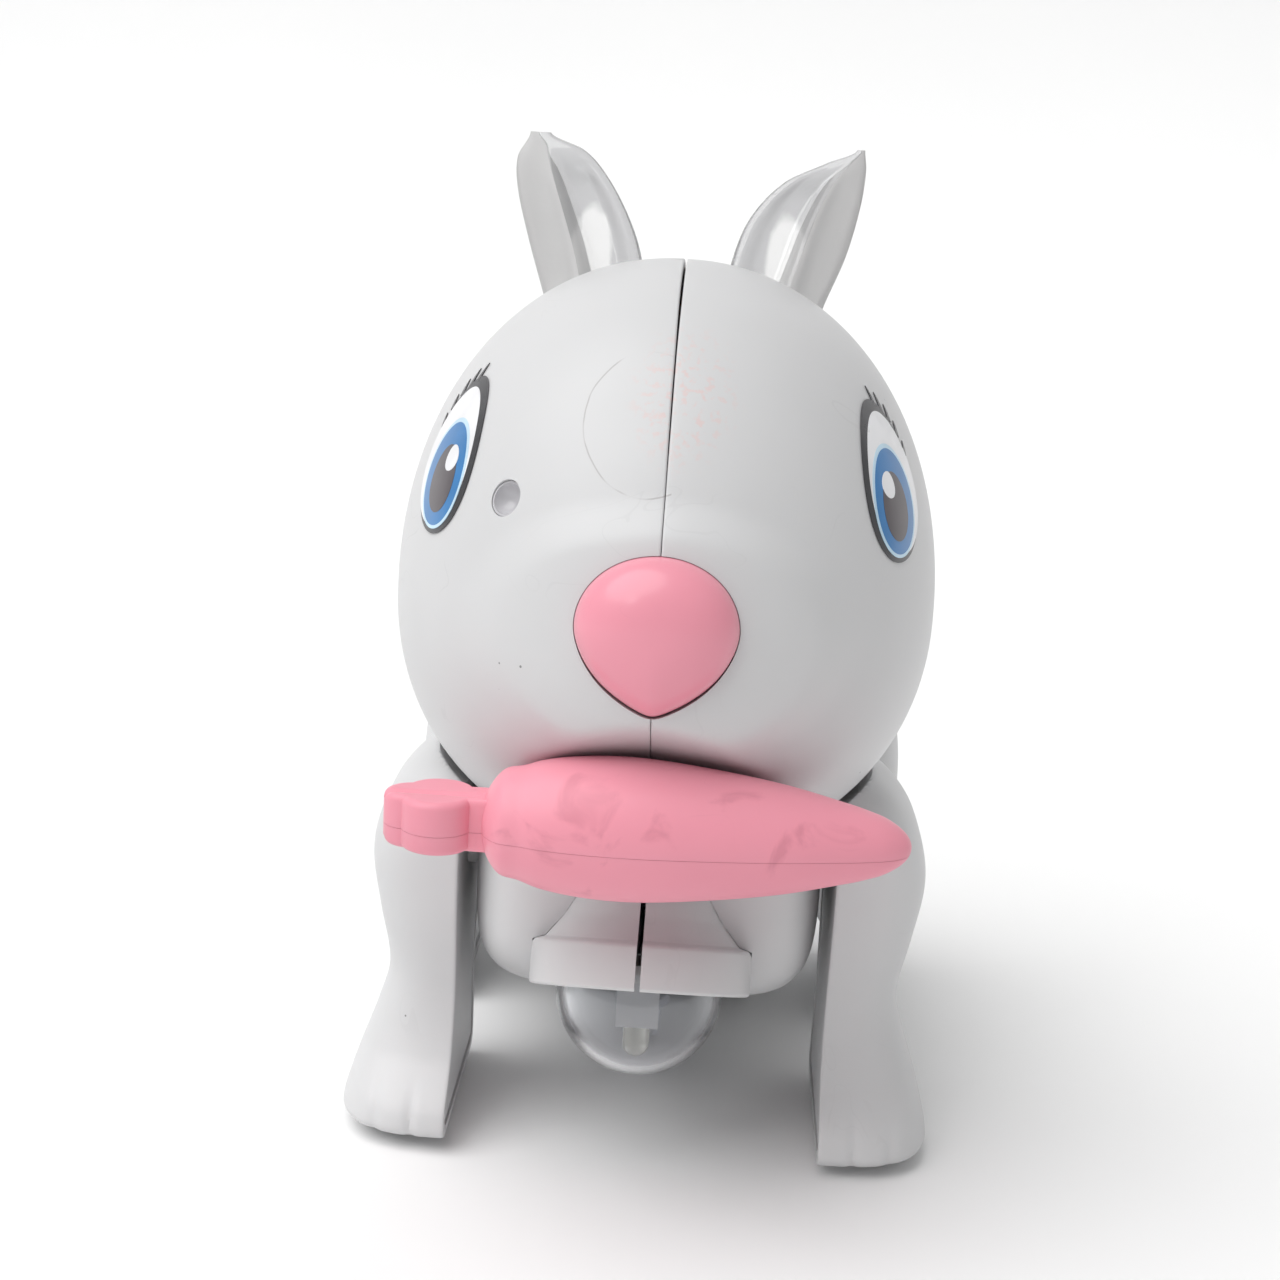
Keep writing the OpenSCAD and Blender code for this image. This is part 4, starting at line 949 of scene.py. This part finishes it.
def lash(start, angle, length, width, bend):
    s = np.linspace(0, 1, 12)
    along = angle + bend * s
    step = length / 11
    p = start[0] + np.concatenate([[0], np.cumsum(np.cos(along[:-1]) * step)])
    q = start[1] + np.concatenate([[0], np.cumsum(np.sin(along[:-1]) * step)])
    half = width / 2 * (1 - s) ** 0.7 + 0.05
    side_p = -np.sin(along) * half
    side_q = np.cos(along) * half
    return np.concatenate([np.stack([p + side_p, q + side_q], -1),
                           np.stack([p - side_p, q - side_q], -1)[::-1]])


class RABBIT_OT_eyes(bpy.types.Operator):
    """Printed eyes: outline, white, iris, pupil, highlight and lashes in raised ink"""
    bl_idname = "rabbit.eyes"
    bl_label = "Printed eyes"

    def execute(self, context):
        lean = sizes().eye_tilt
        layers = [
            ("ink_black", egg((0.5, 0.4), 10.4, 14.0, lean, 0.05), 0.2),
            ("ink_white", egg((1.45, 0.0), 9.7, 12.3, lean, 0.06), 0.25),
            ("ink_pale_blue", egg((-0.2, -2.9), 8.1, 9.8, lean * 0.7), 0.3),
            ("ink_blue", egg((-0.2, -3.0), 7.4, 9.1, lean * 0.7), 0.34),
            ("ink_pupil", egg((-0.6, -3.8), 4.7, 6.0, lean * 0.5), 0.38),
            ("ink_white", egg((-2.0, 0.1), 2.3, 2.3, lean * 2, 0.15), 0.42),
        ]
        for k in range(5):
            angle = math.radians(82 - 16 * k)
            start = (0.5 + 9.9 * math.cos(angle) + 2.6 * math.sin(angle), 0.2 + 12.9 * math.sin(angle))
            outline = lash(start, math.radians(74 - 7 * k), 3.4 - 0.2 * k, 1.25, 0.4)
            layers.append(("ink_black", outline, 0.22))
        for side, name in ((1, "left"), (-1, "right")):
            inks = ["ink_black", "ink_white", "ink_pale_blue", "ink_blue", "ink_pupil"]
            solids = []
            owners = []
            for ink, outline, height in layers:
                solids.append(on_side(ink_patch(outline, height), side))
                owners += [inks.index(ink)] * len(solids[-1][1])
            made = new_object("eye_" + name, joined(*solids))
            finish_piece(made, "toy", [finish(ink) for ink in inks],
                         ["eye_sticker_" + name], 30)
            made.data.polygons.foreach_set("material_index", owners)
        return {"FINISHED"}


class RABBIT_OT_cheek_lens(bpy.types.Operator):
    """Small clear lens set in the right cheek, dished at its face"""
    bl_idname = "rabbit.cheek_lens"
    bl_label = "Cheek lens"

    def execute(self, context):
        r = 3.28
        ball = r * 0.9
        dish = [(ball * math.sin(a), 0.6 - ball * math.cos(a)) for a in np.linspace(0, 1.36, 14)]
        profile = dish + [(r - 0.12, 0.0), (r, -0.12), (r, -4.0), (0.0, -4.0)]
        lens = mirrored(placed(revolve(profile, 72), cheek_place()))
        piece("cheek_window", lens, "toy", [finish("lens_clear")], ["cheek_lens"])
        return {"FINISHED"}


class RABBIT_OT_ears(bpy.types.Operator):
    """Clear ears with a frosted outer blade and a scooped inner side"""
    bl_idname = "rabbit.ears"
    bl_label = "Clear ears"

    def execute(self, context):
        for side, name in ((1, "left"), (-1, "right")):
            made = piece("ear_moulding_" + name, ear_solid(side, EAR_LEN), "toy",
                         [finish("ear_clear"), finish("ear_frosted")], ["ear_" + name], 55)
            for face in made.data.polygons:
                z = face.center.z / MM - EAR_FOOT
                out = ear_edge(side, "outer", z)
                inn = ear_edge(side, "inner", z)
                u = (abs(face.center.x) / MM - inn) / (out - inn)
                face.material_index = 1 if u > 0.6 else 0
        return {"FINISHED"}


# Carrot

def carrot_body(inset, steps=128):
    x = CARROT_ROOT + CARROT_LEN * (1 - np.cos(np.linspace(0, np.pi, 90))) / 2
    r = np.maximum(carrot_radius(x) - inset, 0.01)
    a = np.linspace(0, 2 * np.pi, steps, endpoint=False)[None]
    dimple = 0.35 * np.exp(-((x - CARROT_ROOT - 7) / 2.2) ** 2) if inset == 0 else np.zeros_like(x)
    r = (r - dimple)[:, None]
    rings = np.stack([np.broadcast_to(x[:, None], (len(x), steps)), CARROT_Y + r * np.cos(a),
                      CARROT_Z + r * np.sin(a)], -1)
    keep = r[:, 0] > 0.02
    return ring_mesh(rings[keep])


def leaf_reach(angle):
    """Distance from the middle of the tuft to its lobed edge."""
    dx, dy = math.cos(angle), math.sin(angle)
    lobes = [(-0.5, 2.0, 6.3), (-0.5, -2.0, 6.3), (-5.4, 0, 4.6)]
    best = min(6.0 / abs(dx) if dx < 0 else 11 / max(dx, 1e-6), 4.2 / max(abs(dy), 1e-6))
    for x, y, r in lobes:
        near = x * dx + y * dy
        rest = r * r - (x * x + y * y - near * near)
        if rest > 0:
            best = max(best, near + math.sqrt(rest))
    return best


def leaf_tuft(steps=180):
    """Lobed block of leaves with rounded edges and a groove between its lobes."""
    a = np.linspace(0, 2 * np.pi, steps, endpoint=False)
    reach = np.array([leaf_reach(v) for v in a])
    half = 4.75
    round_r = 1.3
    levels = [(s, -half) for s in np.linspace(0.03, 0.9, 12)]
    levels += [(None, v) for v in np.linspace(-np.pi / 2, 0, 7)]
    levels += [(None, v) for v in np.linspace(0.001, np.pi / 2, 7)]
    levels += [(s, half) for s in np.linspace(0.9, 0.03, 12)]
    rings = []
    for s, level in levels:
        if s is None:
            scale = (reach - round_r * (1 - np.cos(level))) / reach
            z = np.full(steps, np.sign(level) * (half - round_r) + round_r * np.sin(level))
        else:
            scale = np.minimum(s, (reach - round_r) / reach)
            z = np.full(steps, level)
        x = reach * scale * np.cos(a)
        y = reach * scale * np.sin(a)
        dent = 0.8 * np.exp(-((y + 1.2) / 0.7) ** 2)
        z = z - np.sign(z) * dent * (np.abs(z) > half - 1.0)
        rings.append(np.stack([CARROT_ROOT - 7 + x, CARROT_Y + y, CARROT_Z + z], -1))
    return ring_mesh(np.array(rings))


class RABBIT_OT_carrot(bpy.types.Operator):
    """Hollow carrot in two halves, with its leaf tuft"""
    bl_idname = "rabbit.carrot"
    bl_label = "Carrot halves"

    def execute(self, context):
        far = 60
        for upper, name in ((True, "upper"), (False, "lower")):
            made = new_object("carrot_half_" + name, carrot_body(0))
            outward(made)
            combine(made, "UNION", leaf_tuft())
            split = CARROT_SPLIT + (0.03 if upper else -0.03)
            rest = block((-far, CARROT_Y - far, split - far if upper else split),
                         (far, CARROT_Y + far, split if upper else split + far))
            combine(made, "DIFFERENCE", carrot_body(WALL), rest)
            finish_piece(made, "toy", [finish("carrot_plastic")], ["carrot_" + name], 40)
        return {"FINISHED"}


# Body, tail and lamp

def body_half_solid():
    s = np.sin(np.radians(np.linspace(-88, 88, 150)))
    along = np.arctan2(s, (1 - np.abs(s) ** 3) ** (1 / 3))
    side = (1 - np.abs(s) ** 5) ** 0.2
    turn, w = rim_columns((BODY_HALF_W - 0.3) * side, 96)
    level = along[:, None]
    outer = body_point(level, turn, w)
    inner = body_point(level, np.radians(np.linspace(-90, 90, 60))[None], np.full_like(level, WALL))
    ends = np.array([-np.pi / 2, np.pi / 2])
    zero = np.zeros(2)
    return shell_mesh(outer, inner, body_point(ends, zero, zero), body_point(ends, zero, zero + WALL))


def lamp_place():
    return Matrix.Translation((0, LAMP_Y, LAMP_Z)) @ Matrix.Rotation(math.radians(-LAMP_TILT), 4, "X")


def housing_outline(grow=0.0, drop=0.0):
    return [(0, -drop), (RIM_R + grow, -drop), (RIM_R + grow, RIM_H), (CONE_LOW_R + grow, RIM_H + 0.8),
            (CONE_MID_R + grow, RIM_H + 5), (CONE_TOP_R + grow, CONE_TOP), (0, CONE_TOP)]


class RABBIT_OT_body(bpy.types.Operator):
    """Body half-shells with the openings that the running gear needs"""
    bl_idname = "rabbit.body"
    bl_label = "Body half-shells"

    def execute(self, context):
        tub = low("gear_frame_left")
        door_low, door_high = low("battery_door"), high("battery_door")
        tail_z = (low("tail")[2] + high("tail")[2]) / 2
        wheel_gap = high("wheel_left")[0] + 1.5
        gap = 0.3
        caster_r = 5.5
        head_depth = 7.8
        for side, name in ((1, "left"), (-1, "right")):
            cutters = [
                placed(revolve(housing_outline(0.06, 4.0)), lamp_place()),
                block((-5, tub[1] - 0.5, -5), (wheel_gap, BODY_REAR - 2.5, BELLY_Z + 17)),
                block((-5, door_low[1] - gap, BELLY_Z - 5),
                      (door_high[0] + gap, door_high[1] + gap, BELLY_Z + 7)),
                upright(caster_r + 0.1, 0, 0, BELLY_Z - 6, BELLY_Z + 7),
                upright(NECK_R, 0, HEAD_Y, 45, 75),
                along_x(SHOULDER, 20, 60, 4.05),
                along_x(HAUNCH_PEG, 20, 60, 4.1),
                placed(prism(circle(3.1), BODY_REAR - 15, BODY_REAR + 10),
                       Matrix(((1, 0, 0, 0), (0, 0, 1, 0), (0, -1, 0, tail_z), (0, 0, 0, 1)))),
            ]
            if side > 0:
                switch_slot = block((15.1, -3.7, BELLY_Z - 2), (20.9, -0.3, BELLY_Z + 4))
                cutters.append(switch_slot)
            else:
                for at in SCREWS:
                    cutters.append(along_x(at[:2], at[2] - head_depth, BODY_HALF_W + 1, SCREW_HEAD_R))
                chest_dent = block((-4.4, -0.5, -3), (4.4, 0.5, 3))
                dent_place = Matrix.Translation((20.5, BODY_FRONT + 1.5, 49))
                cutters.append(placed(chest_dent, dent_place @ Matrix.Rotation(math.radians(12), 4, "Y")))
            piece("body_" + name, on_side(body_half_solid(), side), "toy",
                  [finish("white_plastic")], ["body_shell_" + name], 30, cutters)
        return {"FINISHED"}


class RABBIT_OT_lamp(bpy.types.Operator):
    """Flared lamp housing in two halves, with its clear dome"""
    bl_idname = "rabbit.lamp"
    bl_label = "Lamp"

    def execute(self, context):
        wall = 1.6
        roof = CONE_TOP - 2.6
        throat_r = CONE_TOP_R - wall
        inside = [(0, roof), (throat_r, roof), (throat_r, RIM_H - wall), (RIM_R - wall, RIM_H - wall),
                  (RIM_R - wall, 0)]
        outline = inside + [(RIM_R, 0), (RIM_R, RIM_H * 0.6), (RIM_R - 0.25, RIM_H),
                            (CONE_LOW_R, RIM_H + 0.7), (CONE_MID_R, RIM_H + 5), (CONE_TOP_R, CONE_TOP),
                            (0, CONE_TOP)]
        radii = [0, 0.4, 0.4, 0.3, 0.4, 1.0, 2, 1.0, 0.5, 8, 0.3, 0]
        profile = soften(outline, radii, 6)
        for side, name in ((1, "left"), (-1, "right")):
            half_gap = 0.5
            shell = placed(revolve(profile, 160), lamp_place())
            other = placed(on_side(block((-60, -60, -60), (half_gap, 60, 60)), side),
                           Matrix.Translation((0, LAMP_Y, LAMP_Z)))
            piece("lamp_shade_" + name, shell, "toy", [finish("white_plastic")],
                  ["lamp_housing_" + name], 30, [other])
        flange = RIM_R - 1.9
        arc = np.linspace(0, np.pi / 2, 40)
        outer = [(DOME_R * math.sin(a), -DOME_R * math.cos(a)) for a in arc]
        inner = [((DOME_R - 1.4) * math.sin(a), -(DOME_R - 1.4) * math.cos(a)) for a in arc[::-1]]
        profile = outer + [(flange, 0), (flange, 1.4), (DOME_R - 1.4, 1.4)] + inner
        piece("lamp_bowl", placed(revolve(profile, 144), lamp_place()), "toy",
              [finish("dome_clear")], ["lamp_dome"], 35)
        return {"FINISHED"}


class RABBIT_OT_tail(bpy.types.Operator):
    """Round tail with a softly tufted surface"""
    bl_idname = "rabbit.tail"
    bl_label = "Tail"

    def execute(self, context):
        lowest, highest = low("tail"), high("tail")
        r = highest[0]
        middle = np.array([0, highest[1] - r, (lowest[2] + highest[2]) / 2])
        rings = []
        for a in np.radians(np.linspace(-89.5, 89.5, 90)):
            turn = np.linspace(0, 2 * np.pi, 120, endpoint=False)
            tuft = 0.35 * np.cos(turn * 9 + 5 * a) ** 2 * np.cos(a) ** 2
            d = r - tuft
            rings.append(np.stack([d * np.cos(a) * np.cos(turn), d * np.cos(a) * np.sin(turn),
                                   d * np.sin(a) + 0 * turn], -1) + middle)
        far = 40.0
        cutter = block((-far, BODY_REAR + 0.1 - far, -far), (far, BODY_REAR + 0.1, far * 3))
        piece("tail_ball", ring_mesh(np.array(rings)), "toy", [finish("white_plastic")],
              ["tail"], 40, [cutter])
        return {"FINISHED"}


# Legs

FRONT_LEG = {
    "inner": [[0, LEG_X], [79, LEG_X]], "bottom": low("front_leg_left")[2], "top": 79.0, "round": 13.0,
    "out": [[0, 59.0], [4, 58.9], [11, 57.0], [21, 53.6], [31, 51.3], [44, 53.4], [55, 55],
            [63, 53.6], [72, 49.5], [79, 46]],
    "front": [[0, -48], [8, -47], [16, -39], [28, -36], [48, -40], [66, -41], [79, -39]],
    "rear": [[0, 3], [10, 2], [22, 0], [44, 5], [66, 7], [79, 5]],
    "toes": [43.2, 50.4],
}
REAR_LEG = {
    "inner": [[0, HAUNCH_X + PAW_TUCK], [14, HAUNCH_X + PAW_TUCK], [32, HAUNCH_X], [82, HAUNCH_X]],
    "bottom": low("rear_leg_left")[2], "top": 82.0, "round": 16.0,
    "out": [[0, 55], [5, 55], [12, 52], [20, 49], [32, 51.5], [50, 54], [66, 53.5], [82, 49]],
    "front": [[0, 31], [6, 30], [13, 34], [21, 38], [32, 30], [50, 24], [68, 28], [82, 39]],
    "rear": [[0, 79], [8, 79.5], [16, 78], [24, 75], [36, 79], [52, 81], [68, 77], [82, 67]],
    "toes": [46.0, 50.5],
}


def leg_skin(leg, u, v, w):
    """Leg surface by height share u and share v round from the front to the rear."""
    z0, z1 = leg["bottom"], leg["top"]
    bend = z1 - leg["round"]
    part = 0.72
    z = np.where(u < part, z0 + w + (bend - z0 - w) * u / part,
                 bend + (z1 - w - bend) * np.sin(np.radians(88) * (u - part) / (1 - part)))
    ball = np.sqrt(np.clip(1 - (np.maximum(z - bend, 0) / (z1 - w - bend)) ** 2, 0, None))
    sole = 1 - 0.12 * np.maximum(1 - (z - z0 - w) / 2.6, 0) ** 2.2
    k = np.where(z > bend, ball, sole)
    front = curve(leg["front"], z) + w
    rear = curve(leg["rear"], z) - w
    a = -np.pi / 2 + np.pi * v
    c, s = rounded(a, 3.2)
    inner = np.maximum(curve(leg["inner"], z), leg["inner"][-1][1])
    x = inner + (curve(leg["out"], z) - inner - w) * k * np.maximum(c, 0)
    y = (front + rear) / 2 + (rear - front) / 2 * k * s
    if np.ndim(v) and np.max(np.abs(w)) < 1:
        low_part = 1 - smooth_step(8, 14, z)
        for toe in leg["toes"]:
            dent = sizes().toe_depth * np.exp(-((x - toe) / 0.9) ** 2) * low_part
            y = y + np.where(s < -0.2, dent, 0)
    return spots(x, y, np.minimum(z, head_floor(x, y, LEG_GAP) - w))


def leg_solid(leg):
    u = np.linspace(0, 1, 130)[:, None]
    rim = np.linspace(0, np.pi / 2, 6)
    lip = sizes().lip_radius
    first = 0.012 * (1 - np.cos(rim))
    offset = lip * (1 - np.sin(rim))
    middle = np.linspace(0.012, 0.988, 84)[1:-1]
    v = np.concatenate([first, middle, 1 - first[::-1]])[None]
    w = np.concatenate([offset, np.zeros(len(middle)), offset[::-1]])[None]
    outer = leg_skin(leg, u, v, w + 0 * u)
    inner = leg_skin(leg, u, np.linspace(0, 1, 50)[None], np.full_like(u, WALL))
    middle_y = (curve(leg["front"], leg["bottom"]) + curve(leg["rear"], leg["bottom"])) / 2
    top_y = (curve(leg["front"], leg["top"]) + curve(leg["rear"], leg["top"])) / 2
    foot_x, top_x = curve(leg["inner"], [leg["bottom"], leg["top"]])
    top = min(leg["top"], head_floor(top_x, top_y, LEG_GAP))
    poles = [np.array([[foot_x, middle_y, leg["bottom"] + w], [top_x, top_y, top - w]])
             for w in (0, WALL)]
    return shell_mesh(outer, inner, poles[0], poles[1])


class RABBIT_OT_legs(bpy.types.Operator):
    """Hollow legs with toes; the front pair swings, the rear pair stands"""
    bl_idname = "rabbit.legs"
    bl_label = "Legs"

    def execute(self, context):
        for side, name in ((1, "left"), (-1, "right")):
            piece("forelimb_" + name, on_side(leg_solid(FRONT_LEG), side), "leg_" + name,
                  [finish("white_plastic")], ["front_leg_" + name], 35)
            piece("haunch_" + name, on_side(leg_solid(REAR_LEG), side), "toy",
                  [finish("white_plastic")], ["rear_leg_" + name], 35)
        return {"FINISHED"}


# Running gear that keeps its own shape

GEAR_FINISH = {
    "white_plastic": "white_plastic", "pink_plastic": "carrot_plastic", "clear_plastic": "ear_clear",
    "eye_print": "ink_blue", "lamp_epoxy": "lamp_epoxy", "grey_plastic": "grey_plastic",
    "gear_plastic": "gear_plastic", "tyre_rubber": "tyre_rubber", "steel": "steel",
    "cell_jacket": "cell_jacket", "motor_can": "motor_can", "brass": "brass",
    "board": "board_green", "black_plastic": "black_plastic",
}


class RABBIT_OT_running_gear(bpy.types.Operator):
    """Finishes of the motor, gears, wheels, battery box and the other inner parts"""
    bl_idname = "rabbit.running_gear"
    bl_label = "Running gear finishes"

    def execute(self, context):
        slots = {part["node"]: part["material_slot"] for part in frame["record"]["subparts"]}
        for name, node in frame["nodes"].items():
            material = finish(GEAR_FINISH[slots[name]])
            if not node.material_slots:
                node.data.materials.append(material)
            for place in node.material_slots:
                place.material = material
        return {"FINISHED"}


# Studio

class RABBIT_OT_studio(bpy.types.Operator):
    """Pale floor that curves up behind, soft lights and the camera"""
    bl_idname = "rabbit.studio"
    bl_label = "Studio"

    def execute(self, context):
        scene = context.scene
        bend = [(-1600, 0), (900, 0)] + [(900 + 700 * math.sin(a), 700 - 700 * math.cos(a))
                                         for a in np.linspace(0.1, np.pi / 2, 14)] + [(1600, 2400)]
        points = [(x, y, z) for y, z in bend for x in (-2400, 2400)]
        faces = [[2 * k, 2 * k + 1, 2 * k + 3, 2 * k + 2] for k in range(len(bend) - 1)]
        floor = new_object("studio_sweep", (np.array(points, float), faces))
        floor.data.polygons.foreach_set("use_smooth", [True] * len(faces))
        material, tree, shader, vector = blank_material("studio_paper")
        wall = shared(tree, moulded_surface, vector, grain=900.0, waves=3.0)
        tone = ramp(tree, wall["Tone"], 0.3, 0.7)
        paper = blend_colours(tree, tone, (0.9, 0.9, 0.9, 1), (0.89, 0.89, 0.892, 1))
        wire(tree, shader, {"Base Color": paper, "Roughness": 0.7})
        floor.data.materials.append(material)

        world = bpy.data.worlds.new("studio")
        world.use_nodes = True
        sky = world.node_tree.nodes["Background"]
        sky.inputs[0].default_value = (1.0, 1.0, 1.0, 1.0)
        sky.inputs[1].default_value = 0.42
        scene.world = world
        lights = [
            ("key_light", "SUN", (-0.45, -0.28, 1.0), math.radians(62), 2.45, (1.0, 1.0, 0.995)),
            ("soft_box", "AREA", (-0.4, -0.75, 0.6), 0.16, 0.35, (1.0, 1.0, 1.0)),
        ]
        for name, kind, place, size, power, colour in lights:
            lamp = bpy.data.lights.new(name, kind)
            if kind == "SUN":
                lamp.angle = size
            else:
                lamp.shape = "DISK"
                lamp.size = size
            lamp.energy = power
            lamp.color = colour
            holder = bpy.data.objects.new(name, lamp)
            holder.location = place
            aim = Vector((0, 0, 0.09)) - holder.location
            holder.rotation_euler = aim.to_track_quat("-Z", "Y").to_euler()
            scene.collection.objects.link(holder)

        eye = Vector((8.008, -441.274, 196.228)) * MM
        target = Vector((-5.0, -3.0, 95.0)) * MM
        ahead = (target - eye).normalized()
        right = ahead.cross(Vector((0, 0, 1))).normalized()
        up = right.cross(ahead)
        roll = math.radians(-3.3)
        across = right * math.cos(roll) - up * math.sin(roll)
        upward = right * math.sin(roll) + up * math.cos(roll)
        camera = bpy.data.cameras.new("camera")
        camera.sensor_width = 36.0
        camera.lens = 61.875
        camera.clip_start = 0.02
        holder = bpy.data.objects.new("camera", camera)
        turn = Matrix((across, upward, -ahead)).transposed()
        holder.matrix_world = Matrix.Translation(eye) @ turn.to_4x4()
        scene.collection.objects.link(holder)
        scene.camera = holder
        scene.view_settings.view_transform = "Standard"
        return {"FINISHED"}


STEPS = ("studio", "running_gear", "head", "nose", "eyes", "cheek_lens", "ears", "carrot", "body",
         "lamp", "tail", "legs")


class RABBIT_PT_panel(bpy.types.Panel):
    """Buttons for each group of pieces, with their sizes and colours"""
    bl_idname = "RABBIT_PT_panel"
    bl_label = "Walking rabbit"
    bl_space_type = "VIEW_3D"
    bl_region_type = "UI"
    bl_category = "Walking rabbit"

    def draw(self, context):
        for group in (context.scene.rabbit_sizes, context.scene.rabbit_finish):
            for key in group.bl_rna.properties.keys():
                if key not in ("rna_type", "name"):
                    self.layout.prop(group, key)
        for step in STEPS:
            self.layout.operator("rabbit." + step)


CLASSES = (RabbitSizes, RabbitFinish, RABBIT_OT_studio, RABBIT_OT_running_gear, RABBIT_OT_head,
           RABBIT_OT_nose, RABBIT_OT_eyes, RABBIT_OT_cheek_lens, RABBIT_OT_ears, RABBIT_OT_carrot,
           RABBIT_OT_body, RABBIT_OT_lamp, RABBIT_OT_tail, RABBIT_OT_legs, RABBIT_PT_panel)


def register():
    for made in CLASSES:
        bpy.utils.register_class(made)
    bpy.types.Scene.rabbit_sizes = bpy.props.PointerProperty(type=RabbitSizes)
    bpy.types.Scene.rabbit_finish = bpy.props.PointerProperty(type=RabbitFinish)


def unregister():
    del bpy.types.Scene.rabbit_finish
    del bpy.types.Scene.rabbit_sizes
    for made in reversed(CLASSES):
        bpy.utils.unregister_class(made)


def main():
    register()
    for step in STEPS:
        getattr(bpy.ops.rabbit, step)()


if __name__ == "__main__":
    main()
